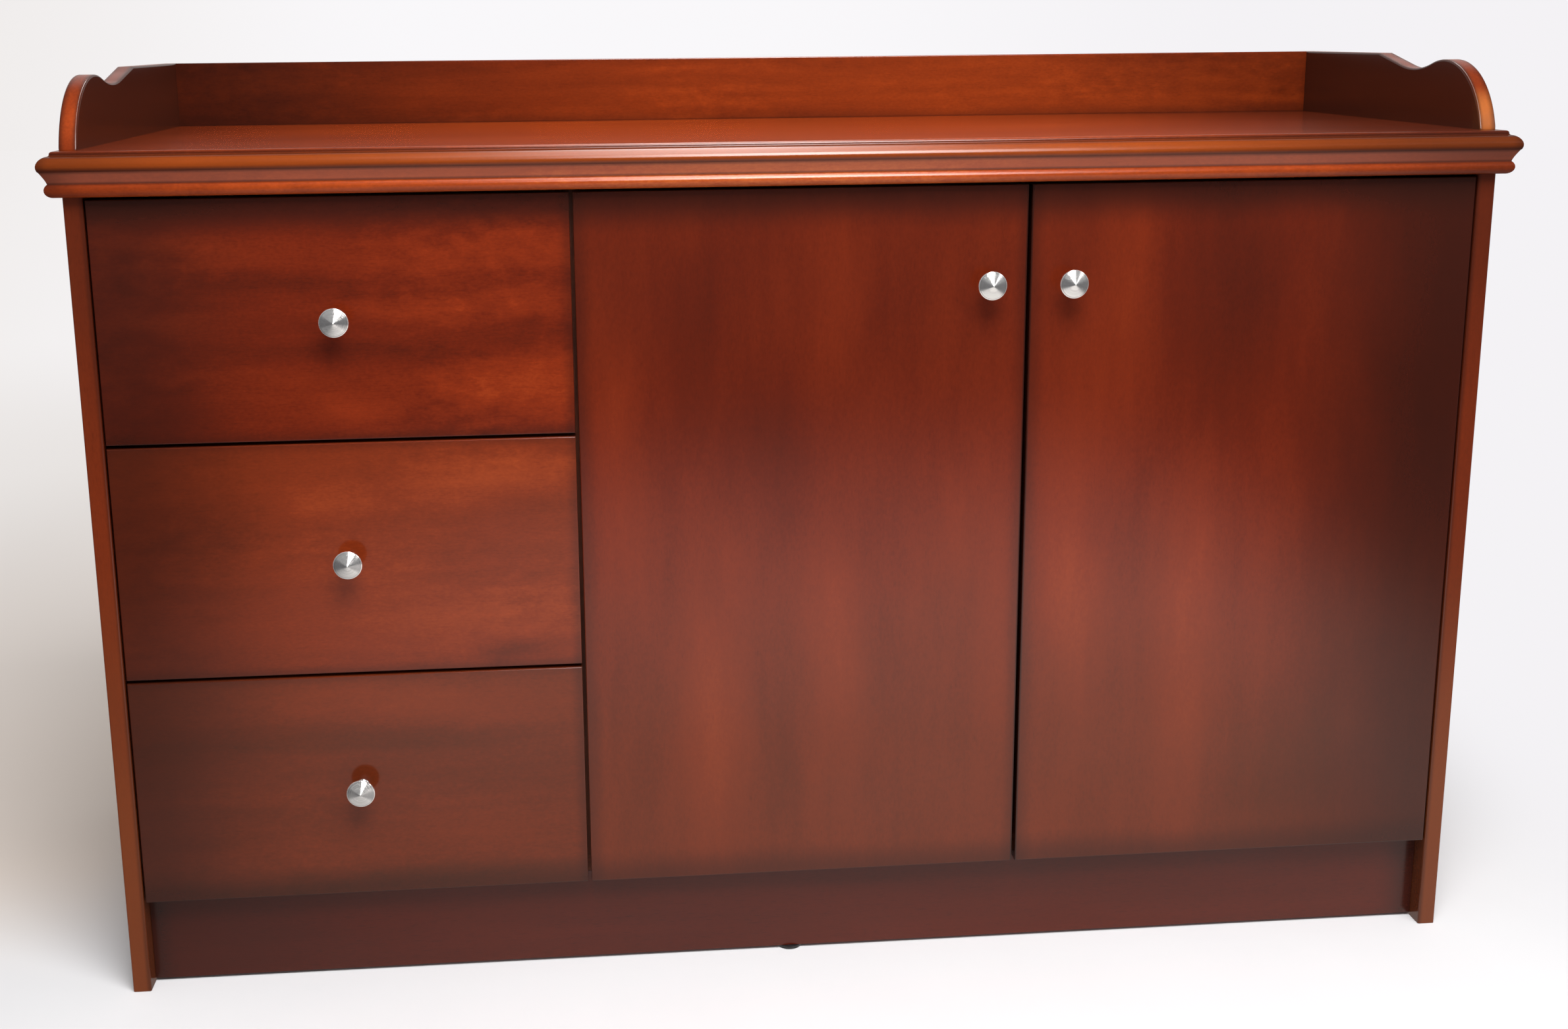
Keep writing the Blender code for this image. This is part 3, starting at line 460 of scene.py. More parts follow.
@dataclass(frozen=True)
class SpunSteel(Finish):
    """Stainless steel brushed in rings on the lathe, about an axis that points to the front."""

    x: float
    z: float

    def surface(self, sheet: Sheet, at: Wire, *axes: Wire) -> Inputs:
        """Rings that lean the surface in and out, with the wedges of light that they give, and painted dark
        reflections, a painted shade line and a painted highlight on the rim.
        """
        x, z = axes[X] - self.x, axes[Z] - self.z
        radius = (x * x + z * z) ** 0.5
        x, z = x / radius, z / radius
        ring = sheet.add("ShaderNodeCombineXYZ", {0: radius})
        rings = sheet.noise(ring, (9000.0, 1.0, 1.0), self.x, 1.0)
        fine = sheet.noise(ring, (2500.0, 1.0, 1.0), self.z, 2.0)
        out = sheet.add("ShaderNodeCombineXYZ", {0: x, 2: z})
        lean = sheet.add("ShaderNodeVectorMath", {0: out, "Scale": (rings - 0.5) * 1.5}, operation="SCALE")
        normal = sheet.add("ShaderNodeTexCoord", output="Normal")
        leaning = sheet.add("ShaderNodeVectorMath", {0: normal, 1: lean}, operation="ADD")
        leaning = sheet.add("ShaderNodeVectorTransform", {0: leaning}, vector_type="NORMAL",
                            convert_from="OBJECT", convert_to="WORLD")
        colour = sheet.mix((0.74, 0.73, 0.72), (0.90, 0.89, 0.88), fine.step(0.3, 0.7))
        for tint, share in (
            ((0.30, 0.295, 0.30), (x - z * 0.10).size().step(0.80, 0.99) * 0.75),  # painted dark reflections at either side
            ((0.36, 0.33, 0.32), radius.hump(0.0128, 0.0005) * 0.5),  # a painted shade line inside the rim
            ((1.0, 0.93, 0.90), radius.step(0.0130, 0.0134) * 0.9),  # a painted highlight on the rim
        ):
            colour = sheet.mix(colour, tint, share)
        return {"Base Color": colour, "Metallic": 0.80, "Roughness": fine * 0.06 + 0.09, "Normal": leaning}


# The bench: shapes made with Blender's own operators


def clear_bench() -> None:
    """Leaves edit mode and deselects everything."""
    if bpy.context.object and bpy.context.object.mode != "OBJECT":
        bpy.ops.object.mode_set(mode="OBJECT")
    bpy.ops.object.select_all(action="DESELECT")


class Work:
    """A piece on the bench, shaped in edit mode where it will stay."""

    def __init__(self, name: str) -> None:
        """Takes the primitive that was just added, and moves its place into its mesh."""
        bpy.ops.object.transform_apply(location=True, rotation=True, scale=True)
        self.obj = bpy.context.object
        self.obj.name = self.obj.data.name = name
        bpy.ops.object.mode_set(mode="EDIT")
        bpy.ops.mesh.select_all(action="SELECT")

    @classmethod
    def box(cls, name: str, low: Point, high: Point) -> "Work":
        """A box between two corners. With no height it is a flat sheet."""
        clear_bench()
        low, high = Vector(low), Vector(high)
        if high.z - low.z < WELD:
            bpy.ops.mesh.primitive_plane_add(size=1.0, location=(low + high) / 2)
        else:
            bpy.ops.mesh.primitive_cube_add(size=1.0, location=(low + high) / 2)
        bpy.context.object.scale = [max(side, WELD) for side in high - low]
        return cls(name)

    @classmethod
    def turned(cls, name: str, profile: Profile, sides: int = 48) -> "Work":
        """A shape turned about the Z axis.

        Args:
            name: The piece's name.
            profile: Its radius and height from the foot round to the middle of its face.
            sides: How many faces it has round its axis.

        Returns:
            The closed shape.
        """
        clear_bench()
        radius, height = profile[0]
        bpy.ops.mesh.primitive_circle_add(
            vertices=sides, radius=radius, fill_type="NGON", location=(0.0, 0.0, height))
        work = cls(name)
        for new_radius, new_height in profile[1:]:
            if new_radius < WELD:
                work.rise((0.0, 0.0, new_height - height))
                bpy.ops.mesh.merge(type="CENTER")
                break
            growth = new_radius / radius
            work.rise((0.0, 0.0, new_height - height), (growth, growth, 1.0))
            radius, height = new_radius, new_height
        return work.close()

    def rise(self, move: Point, growth: Point = (1.0, 1.0, 1.0), centre: Point = (0.0, 0.0, 0.0)) -> None:
        """Extrudes what is selected, and grows it about a centre."""
        bpy.ops.mesh.extrude_region_move(TRANSFORM_OT_translate={"value": move})
        if growth != (1.0, 1.0, 1.0):
            bpy.ops.transform.resize(value=growth, center_override=centre)

    def mould(self, profile: Profile, foot: float, spans: tuple[float | None, float | None],
              centre: Point) -> "Work":
        """Raises a flat sheet to a moulded solid, one station of its profile after another.

        Args:
            profile: The overhang and the height of each station. The sheet is drawn at the first.
            foot: The height at which the profile starts.
            spans: The solid's reach from the centre along X and Y without its overhang, None where it is fixed.
            centre: The point that stays in place.

        Returns:
            The piece.
        """
        for (out, up), (new_out, new_up) in zip(profile, profile[1:]):
            growth = tuple(1.0 if span is None else (span + new_out) / (span + out) for span in spans)
            self.rise((0.0, 0.0, new_up - up), (*growth, 1.0), (centre[0], centre[1], foot + new_up))
        return self

    def cut(self, place: Point, normal: Point, remove: bool = False) -> None:
        """Cuts the piece along a plane, and takes off what lies on the normal's side if remove is set."""
        bpy.ops.mesh.select_all(action="SELECT")
        bpy.ops.mesh.bisect(plane_co=place, plane_no=normal, use_fill=remove, clear_outer=remove)

    def pick(self, kind: str, wanted: Callable[..., bool]) -> None:
        """Selects by place.

        Args:
            kind: "VERT" or "EDGE".
            wanted: A test of a point, or of an edge's two ends.
        """
        bpy.ops.mesh.select_mode(type=kind)
        bpy.ops.mesh.select_all(action="DESELECT")
        mesh = bmesh.from_edit_mesh(self.obj.data)
        if kind == "VERT":
            found = [vert for vert in mesh.verts if wanted(vert.co)]
        else:
            found = [edge for edge in mesh.edges if wanted(edge.verts[0].co, edge.verts[1].co)]
        for item in found:
            item.select_set(True)
        mesh.select_flush_mode()
        bmesh.update_edit_mesh(self.obj.data)

    def close(self) -> "Work":
        """Welds the piece's doubles, turns its faces outwards and leaves edit mode."""
        bpy.ops.mesh.select_mode(type="VERT")
        bpy.ops.mesh.select_all(action="SELECT")
        bpy.ops.mesh.remove_doubles(threshold=WELD)
        bpy.ops.mesh.normals_make_consistent(inside=False)
        bpy.ops.object.mode_set(mode="OBJECT")
        return self

    def modify(self, kind: str, **settings: object) -> "Work":
        """Adds a modifier and applies it."""
        modifier = self.obj.modifiers.new(kind.title(), kind)
        for name, value in settings.items():
            setattr(modifier, name, value)
        bpy.context.view_layer.objects.active = self.obj
        bpy.ops.object.modifier_apply(modifier=modifier.name)
        return self

    def ease(self, width: float, segments: int, wanted: Callable[..., bool] | None = None) -> "Work":
        """Closes the piece and rounds its sharp edges, or only those that pass a test of their two ends."""
        limits = {"angle_limit": math.radians(40)}
        if wanted:
            self.pick("EDGE", wanted)
            bpy.ops.transform.edge_bevelweight(value=1.0)
            limits = {"limit_method": "WEIGHT"}
        self.close().modify("BEVEL", width=width, segments=segments, use_clamp_overlap=False, **limits)
        return self.smooth()

    def smooth(self, degrees: float = 35.0) -> "Work":
        """Smooth shading, with the flat faces kept flat."""
        self.obj.select_set(True)
        bpy.context.view_layer.objects.active = self.obj
        bpy.ops.object.shade_smooth_by_angle(angle=math.radians(degrees))
        return self.modify("WEIGHTED_NORMAL", keep_sharp=True)

    def copies(self, name: str, places: Sequence[Matrix]) -> "Work":
        """Copies the piece to each place, and joins the copies to one piece."""
        clear_bench()
        made = []
        for place in places:
            copy = self.obj.copy()
            copy.data = self.obj.data.copy()
            copy.data.transform(place)
            bpy.context.scene.collection.objects.link(copy)
            copy.select_set(True)
            made.append(copy)
        bpy.context.view_layer.objects.active = made[0]
        if len(made) > 1:
            bpy.ops.object.join()
        new = Work.__new__(Work)
        new.obj = made[0]
        new.obj.name = new.obj.data.name = name
        return new

    def dress(self, material: bpy.types.Material, body: str, slot: str, *replaced: str) -> None:
        """Gives the piece its finish and its body.

        Args:
            material: Its finish.
            body: The body that it rides on.
            slot: The record's material slot; not used.
            *replaced: The nodes that it stands for.
        """
        self.obj.data.materials.clear()
        self.obj.data.materials.append(material)
        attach(self.obj, body)
        if replaced:
            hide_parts(*replaced)
        LOG.info("%s: %d faces on %s", self.obj.name, len(self.obj.data.polygons), body)


def paint(material: bpy.types.Material, *nodes: str) -> None:
    """Gives nodes of the frame their finish."""
    for node in nodes:
        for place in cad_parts[node].material_slots:
            place.material = material
        LOG.info("%s: %s", node, material.name)


def towards(place: Point, direction: Point, turn: float = 0.0) -> Matrix:
    """Where a piece modelled about Z goes: its foot at a place, its axis along a direction."""
    spin = Vector((0.0, 0.0, 1.0)).rotation_difference(Vector(direction)).to_matrix().to_4x4()
    return Matrix.Translation(place) @ spin @ Matrix.Rotation(turn, 4, "Z")


def between(low: float, high: float, share: float = 0.5) -> float:
    """The place that lies a share of the way from low to high."""
    return low + (high - low) * share


def arc(centre: tuple[float, float], radii: tuple[float, float], start: float, end: float,
        steps: int) -> list[tuple[float, float]]:
    """Points on an arc, by angles in degrees from the first coordinate's axis towards the second's."""
    angles = [math.radians(start + (end - start) * step / steps) for step in range(steps + 1)]
    return [(centre[0] + radii[0] * math.cos(a), centre[1] + radii[1] * math.sin(a)) for a in angles]


# The top


@dataclass(frozen=True)
class Top:
    """The top board with its moulded edge, the cornice under it and the gallery on it."""

    outer_x: float = 0.690  # outer faces of the side panels
    front_y: float = -0.2175  # front edges of the side panels
    back_y: float = 0.2425
    fit: float = 0.0003  # between glued pieces

    board_z: float = 0.834
    thickness: float = 0.018
    thumb_root: float = 0.0076  # overhang of the thumb moulding's upper end
    thumb_reach: float = 0.0091  # from there to its tip
    thumb_tip: float = 0.0043  # the tip's height over the board's underside
    thumb_rise: float = 0.0095  # from the tip to the upper end
    thumb_fullness: float = 1.15
    thumb_angles: tuple[float, float] = (-26.9, 90.0)
    lip: float = 0.0064  # overhang of the square lip over the thumb
    lip_foot: float = 0.0149  # its lower edge over the board's underside
    lip_chamfer: float = 0.0004
    lip_arris: float = 0.0024

    cornice_z: float = 0.8098
    bead_middle: float = 0.0053  # overhang of the bead's middle
    bead_radius: float = 0.0070
    bead_end: float = 53.1
    cove_pull: tuple[float, float] = (0.0103, 0.0162)  # the point that the hollow bends towards
    cove_head: tuple[float, float] = (0.0152, 0.02415)

    gallery_z: float = 0.8519
    gallery_thickness: float = 0.017
    gallery_setback: float = 0.0135
    gallery_overhang: float = 0.0033
    gallery_height: float = 0.072
    gallery_arris: float = 0.0020
    gallery_back_arris: float = 0.0010
    crown_radius: float = 0.086
    crown_height: float = 0.0672
    dip_height: float = 0.057
    dip_run: float = 0.066  # from the crown's top to the bottom of the hollow
    ramp: float = 12.2

    def board_profile(self) -> Profile:
        """The top board's edge from its underside up, as overhang and height."""
        steps = 22
        start, end = self.thumb_angles
        angles = [math.radians(start + (end - start) * step / steps) for step in range(steps)]
        thumb = [(self.thumb_root + self.thumb_reach * math.cos(angle) ** self.thumb_fullness,
                  self.thumb_tip + self.thumb_rise * math.sin(angle)) for angle in angles]
        quirk = [(self.thumb_root, self.thumb_tip + self.thumb_rise),
                 (self.lip + self.lip_chamfer, self.lip_foot - self.lip_chamfer), (self.lip, self.lip_foot)]
        corner = (self.lip - self.lip_arris, self.thickness - self.lip_arris)
        return [*thumb, *quirk, *arc(corner, (self.lip_arris,) * 2, 0.0, 90.0, 7)]

    def cornice_profile(self) -> Profile:
        """The cornice's section from its foot up: a bead, then a hollow that runs out to its head."""
        steps = 8
        bead = arc((self.bead_middle, self.bead_radius), (self.bead_radius,) * 2, -90.0, self.bead_end, 16)
        hollow = []
        for share in (step / steps for step in range(1, steps + 1)):
            weights = (1 - share) ** 2, 2 * share * (1 - share), share**2
            points = bead[-1], self.cove_pull, self.cove_head
            hollow.append(tuple(sum(w * point[axis] for w, point in zip(weights, points)) for axis in (0, 1)))
        return [*bead, *hollow]

    def scroll(self) -> Profile:
        """A gallery side's outline from the front, as depth and height: crown, hollow, ramp and level run."""
        crown = self.crown_radius
        drop = crown - self.crown_height
        middle = math.sqrt(crown**2 - drop**2)
        rise = self.dip_height + drop
        hollow = (self.dip_run**2 + rise**2 - crown**2) / (2 * (self.crown_height - self.dip_height))
        turn = math.degrees(math.asin(self.dip_run / (crown + hollow)))
        start = 89.0 + math.degrees(math.asin(middle / crown))  # a degree above the crown's foot
        outline = arc((middle, -drop), (crown, crown), start, 90.0 - turn, 26)
        dip = arc((middle + self.dip_run, self.dip_height + hollow), (hollow, hollow),
                  270.0 - turn, 270.0 + self.ramp, 12)
        end = dip[-1][0] + (self.gallery_height - dip[-1][1]) / math.tan(math.radians(self.ramp))
        length = self.back_y - self.front_y - self.gallery_setback
        return [*outline, *dip[1:], (end, self.gallery_height), (length, self.gallery_height)]

    def build_board(self) -> None:
        """The top board: one sheet raised along the profile, so that its mouldings meet in mitres."""
        profile = self.board_profile()
        out, up = profile[0]
        work = Work.box("top", (-self.outer_x - out, self.front_y - out, self.board_z + up),
                        (self.outer_x + out, self.back_y, self.board_z + up))
        spans = (self.outer_x, self.back_y - self.front_y)
        work.mould(profile, self.board_z, spans, (0.0, self.back_y, 0.0)).close().smooth(40.0)
        finish = Mahogany(
            "mahogany_top", Grain.X, 31.0, 0.64, Stain.AMBER, Figure(0.26, 0.25, 0.24, 0.22),
            patches(((0.84, 0.2, -0.85, 0.65, -0.22), (0.84, 0.2, 0.75, 0.55, -0.25))),
            (
                Shade(Z, self.board_z + 0.0075, 0.0095, 0.60, 0.0030, EDGE_GLAZE),
                # painted shade in the crease under the thumb and in the quirk under the lip, and towards both ends,
                # where less light falls
                Shade(Z, self.board_z, 0.0048, 0.66, 0.0004),
                Shade(Z, self.board_z + 0.0146, 0.0034, 0.58, 0.0010),
                Shade(X, -0.707, 0.14, 0.38), Shade(X, 0.707, 0.42, 0.55, 0.05),
                Shade(X, -0.7067, 0.012, 0.5), Shade(X, 0.7067, 0.012, 0.5),
            ), gloss=0.16, coat=0.7)
        work.dress(finish.make(), "carcase", "mahogany", "top_board")

    def build_cornice(self) -> None:
        """Three moulded strips, mitred at the front corners, with painted shade in the grooves over and under the
        cove, and a painted reflection of the floor in the cove.
        """
        profile = self.cornice_profile()
        mitre = self.fit / math.sqrt(2)
        (first, _), (last, _) = profile[0], profile[-1]
        wall, z = self.front_y - self.fit, self.cornice_z
        # painted shade in the grooves over the bead and under the thumb, and the cove's painted reflection
        grooves = (Shade(Z, z + 0.0129, 0.0022, 0.62, 0.0003), Shade(Z, self.board_z, 0.0032, 0.55, 0.0006),
                   Shade(Z, z + 0.0185, 0.0075, 0.29, 0.003, COVE_REFLECTION))
        finish = Mahogany(
            "mahogany_cornice", Grain.X, 37.0, 0.78, Stain.AMBER, Figure(0.24, 0.24, 0.20, 0.30),
            patches(((0.82, 0.2, -0.85, 0.55, -0.20), (0.82, 0.2, 0.75, 0.50, -0.20),
                     (0.82, 0.2, -0.05, 0.45, 0.08))),
            # painted shade towards both ends, where less light falls
            (*grooves, Shade(X, -0.705, 0.04, 0.45), Shade(X, 0.705, 0.22, 0.40, 0.01)), gloss=0.17, coat=0.68)
        reach = self.outer_x + last
        work = Work.box("cornice_front_strip", (-reach, self.front_y - first, z), (reach, wall, z))
        work.mould(profile, z, (None, -self.fit), (0.0, wall, 0.0))
        for side in SIDES.values():
            work.cut((side * (self.outer_x - mitre), self.front_y, 0.0), (side, 1.0, 0.0), True)
        work.close().smooth().dress(finish.make(), "carcase", "mahogany", "cornice_front")
        along = Mahogany("mahogany_cornice_ends", Grain.Y, 38.0, 0.62, Stain.AMBER, Figure(0.24, 0.18, 0.14, 0.20),
                         shades=grooves, gloss=0.17).make()
        for name, side in SIDES.items():
            wall = side * (self.outer_x + self.fit)
            ends = sorted((wall, side * (self.outer_x + first)))
            work = Work.box(f"cornice_{name}_strip", (ends[0], self.front_y - last, z), (ends[1], self.back_y, z))
            work.mould(profile, z, (-self.fit, None), (wall, 0.0, 0.0))
            work.cut((side * self.outer_x, self.front_y + mitre, 0.0), (-side, -1.0, 0.0), True)
            work.close().smooth().dress(along, "carcase", "mahogany", f"cornice_{name}")

    def build_gallery_side(self, name: str, side: int) -> None:
        """One side of the gallery, with its scrolled front end.

        Args:
            name: "left" or "right".
            side: -1 or 1.
        """
        outline = self.scroll()
        foot, top = self.gallery_z, self.gallery_z + self.gallery_height
        front = self.front_y + self.gallery_setback
        start = front + outline[0][0]
        outer = side * (self.outer_x + self.gallery_overhang)
        inner = outer - side * self.gallery_thickness
        walls = sorted((outer, inner))
        work = Work.box(f"gallery_{name}_scroll", (walls[0], start, foot), (walls[1], self.back_y, top))
        for depth, _ in outline[1:-1]:
            work.cut((0.0, front + depth, 0.0), BACK)
        for depth, height in outline:
            work.pick("VERT", lambda at: abs(at.y - front - depth) < FLUSH and at.z > top - FLUSH)
            bpy.ops.transform.translate(value=(0.0, 0.0, foot + height - top))

        def on_scroll(a: Vector, b: Vector) -> bool:
            """Whether an edge runs along the outline, on one of the board's two faces."""
            low = min(a.z, b.z) < foot + FLUSH
            nose = max(a.y, b.y) < start + FLUSH
            return abs(a.x - b.x) < FLUSH and (nose or not low) and min(a.y, b.y) < self.back_y - FLUSH

        work.ease(self.gallery_arris, 4, on_scroll)
        # The right scroll's front end gets a painted warm highlight over its lighter end wood.
        light, end_glint = 0.08, ()
        if side > 0:
            light, end_glint = 0.16, (Shade(Y, start, 0.024, 0.36, 0.008, END_WOOD_AND_GLINT),)
        finish = Mahogany(
            f"mahogany_gallery_{name}", Grain.Y, 41.0 + side, 0.60, Stain.AMBER, Figure(0.24, 0.26, 0.24, 0.36),
            patches(((0.874, 0.035, -0.204, 0.03, light),)),
            # painted shade on the inner face, with some toner; darker along the outer face and towards the top
            (*end_glint, Shade(X, inner, 0.006, 0.88, 0.0005, GALLERY_INNER_SHADE), Shade(X, outer, 0.007, 0.70),
             Shade(Z, top, 0.034, 0.35, 0.01)), gloss=0.20, coat=0.75)
        work.dress(finish.make(), "carcase", "mahogany", f"gallery_{name}")

    def build_gallery_back(self) -> None:
        """The back board between the gallery's sides."""
        foot, top = self.gallery_z, self.gallery_z + self.gallery_height
        reach = self.outer_x + self.gallery_overhang - self.gallery_thickness - FLUSH
        work = Work.box("gallery_back_board", (-reach, self.back_y - self.gallery_thickness, foot),
                        (reach, self.back_y, top))
        work.ease(self.gallery_back_arris, 3,
                  lambda a, b: min(a.z, b.z) > top - FLUSH and abs(a.y - b.y) < FLUSH)
        finish = Mahogany(
            "mahogany_gallery_back", Grain.X, 47.0, 0.59, Stain.AMBER, Figure(0.44, 0.26, 0.16, 0.44),
            patches(((0.888, 0.2, -0.78, 0.75, -0.36), (0.888, 0.2, 0.25, 0.45, 0.03),
                     (0.888, 0.2, 0.72, 0.45, -0.16))),
            # painted shade along the foot, where the board meets the top; darker towards the left
            (Shade(Z, foot, 0.014, 0.34), Shade(Z, foot, 0.0022, 0.6), Shade(X, -self.outer_x, 0.36, 0.50, 0.04)),
            coat=0.8)
        work.dress(finish.make(), "carcase", "mahogany", "gallery_back")

    def build(self) -> None:
        """Builds and dresses the top."""
        self.build_board()
        self.build_cornice()
        for name, side in SIDES.items():
            self.build_gallery_side(name, side)
        self.build_gallery_back()


# The finishes and small fittings that several pieces share


@dataclass(frozen=True)
class Finishes:
    """The finishes of the pieces that aren't seen to differ."""

    inside: bpy.types.Material
    panel: bpy.types.Material
    drawer_wood: bpy.types.Material
    nickel: bpy.types.Material
    zinc: bpy.types.Material
    enamel: bpy.types.Material
    rubber: bpy.types.Material
    black: bpy.types.Material

    @classmethod
    def make(cls) -> "Finishes":
        """Draws them all."""
        return cls(
            inside=PlainWood("veneer_inside", Grain.X, *VENEER, 11.0, 0.45).make(),
            panel=PlainWood("plywood_back", Grain.X, (0.19, 0.075, 0.036), (0.36, 0.165, 0.080), 17.0, 0.62).make(),
            drawer_wood=PlainWood("drawer_wood", Grain.Y, (0.42, 0.25, 0.12), (0.62, 0.43, 0.245), 23.0, 0.55).make(),
            nickel=Metal("nickel_plate", (0.60, 0.59, 0.57), 0.30, 2.0).make(),
            zinc=Metal("zinc_plate", (0.56, 0.57, 0.60), 0.38, 4.0).make(),
            enamel=Coating("cream_enamel", (0.78, 0.765, 0.72), 0.38, 700.0, 0.14).make(),
            rubber=Coating("clear_rubber", (0.40, 0.40, 0.39), 0.35, 300.0, 0.05).make(),
            black=Coating("black_plastic", (0.015, 0.015, 0.016), 0.45, 1200.0, 0.20).make(),
        )


def cross_screw(name: str, radius: float, height: float) -> Work:
    """A raised screw head with a cross recess.

    Args:
        name: The pattern's name.
        radius: The head's radius.
        height: The head's height.

    Returns:
        The pattern.
    """
    rim, depth, blade_length, blade_width = height * 0.2, height * 0.40, radius * 0.58, radius * 0.17
    dome = arc((0.0, rim), (radius, height * 0.8), 12.0, 84.0, 5)
    work = Work.turned(name, [(radius, 0.0), (radius, rim), *dome], 20)
    for across, along in ((blade_width, blade_length), (blade_length, blade_width)):
        blade = Work.box("blade", (-across, -along, depth), (across, along, height * 2)).close()
        work.modify("BOOLEAN", object=blade.obj, operation="DIFFERENCE", solver="EXACT")
        bpy.data.objects.remove(blade.obj)
    return work.smooth(30.0)


@dataclass(frozen=True)
class Fittings:
    """The shared finishes, and the patterns that screws, rivets, nails and bumpers are copied from."""

    finishes: Finishes
    screw: Work
    wide_screw: Work
    rivet: Work
    bumper: Work
    nail: Work

    @classmethod
    def make(cls) -> "Fittings":
        """Models each pattern once, standing on the origin."""
        rivet = ((0.0028, 0.0), (0.0028, 0.0004), (0.0022, 0.0010), (0.0010, 0.0012), (0.0, 0.0012))
        bumper = ((0.0030, 0.0), (0.0030, 0.0008), (0.0026, 0.0014), (0.0016, 0.0016), (0.0, 0.0016))
        nail = ((0.0016, 0.0), (0.0016, 0.0002), (0.0012, 0.0004), (0.0, 0.0005))
        return cls(
            Finishes.make(),
            screw=cross_screw("screw_pattern", 0.0034, 0.0011),
            wide_screw=cross_screw("wide_screw_pattern", 0.0042, 0.0020),
            rivet=Work.turned("rivet_pattern", rivet, 20).smooth(),
            bumper=Work.turned("bumper_pattern", bumper, 24).smooth(),
            nail=Work.turned("nail_pattern", nail, 12).smooth(),
        )

    def fasten(self, pattern: Work, name: str, places: Sequence[Matrix], body: str) -> None:
        """Copies a zinc plated pattern to its places on a body, as one piece."""
        pattern.copies(name, places).dress(self.finishes.zinc, body, "nickel_plated_steel")

    def discard(self) -> None:
        """Takes the patterns away."""
        for pattern in (self.screw, self.wide_screw, self.rivet, self.bumper, self.nail):
            bpy.data.objects.remove(pattern.obj)


@dataclass(frozen=True)
class Knob:
    """A spun steel knob on a front, with the screw that holds it from behind."""

    body: str
    front: str
    fittings: Fittings

    def profile(self, reach: float) -> Profile:
        """The knob's radius and height: its foot, neck, shoulder and rim, and its conical face.

        Args:
            reach: How far it stands out.

        Returns:
            The stations.
        """
        neck, rim = 0.0134, 0.0202
        cone = reach - rim
        return [
            (0.0070, 0.0), (0.0070, 0.0012), *arc((0.0070, 0.0042), (0.0025, 0.0027), 262.0, 182.0, 5),
            (0.0045, neck), *arc((0.0085, neck), (0.0040, 0.0034), 176.0, 100.0, 5),
            (0.0125, 0.0187), (0.0137, 0.0190), (0.0140, 0.0193), (0.0140, rim - 0.0006),
            (0.0138, rim - 0.0002), (0.0135, rim), (0.0090, rim + cone * 0.335),
            (0.0045, rim + cone * 0.665), (0.0009, rim + cone * 0.94), (0.0, reach),
        ]

    def build(self) -> None:
        """Turns the knob, and puts its screw on the front's back."""
        name = f"{self.body}_knob"
        low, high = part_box(name)
        x, z = between(low.x, high.x), between(low.z, high.z)
        work = Work.turned(f"{name}_spun", self.profile(high.y - low.y), 72).smooth(28.0)
        work.obj.data.transform(towards((x, high.y, z), FRONT))
        work.dress(SpunSteel(f"spun_steel_{name}", x, z).make(), self.body, "brushed_steel", name)
        behind = towards((x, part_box(self.front)[1].y, z), BACK, 0.4)
        self.fittings.fasten(self.fittings.wide_screw, f"{name}_screw", [behind], self.body)


# The carcase


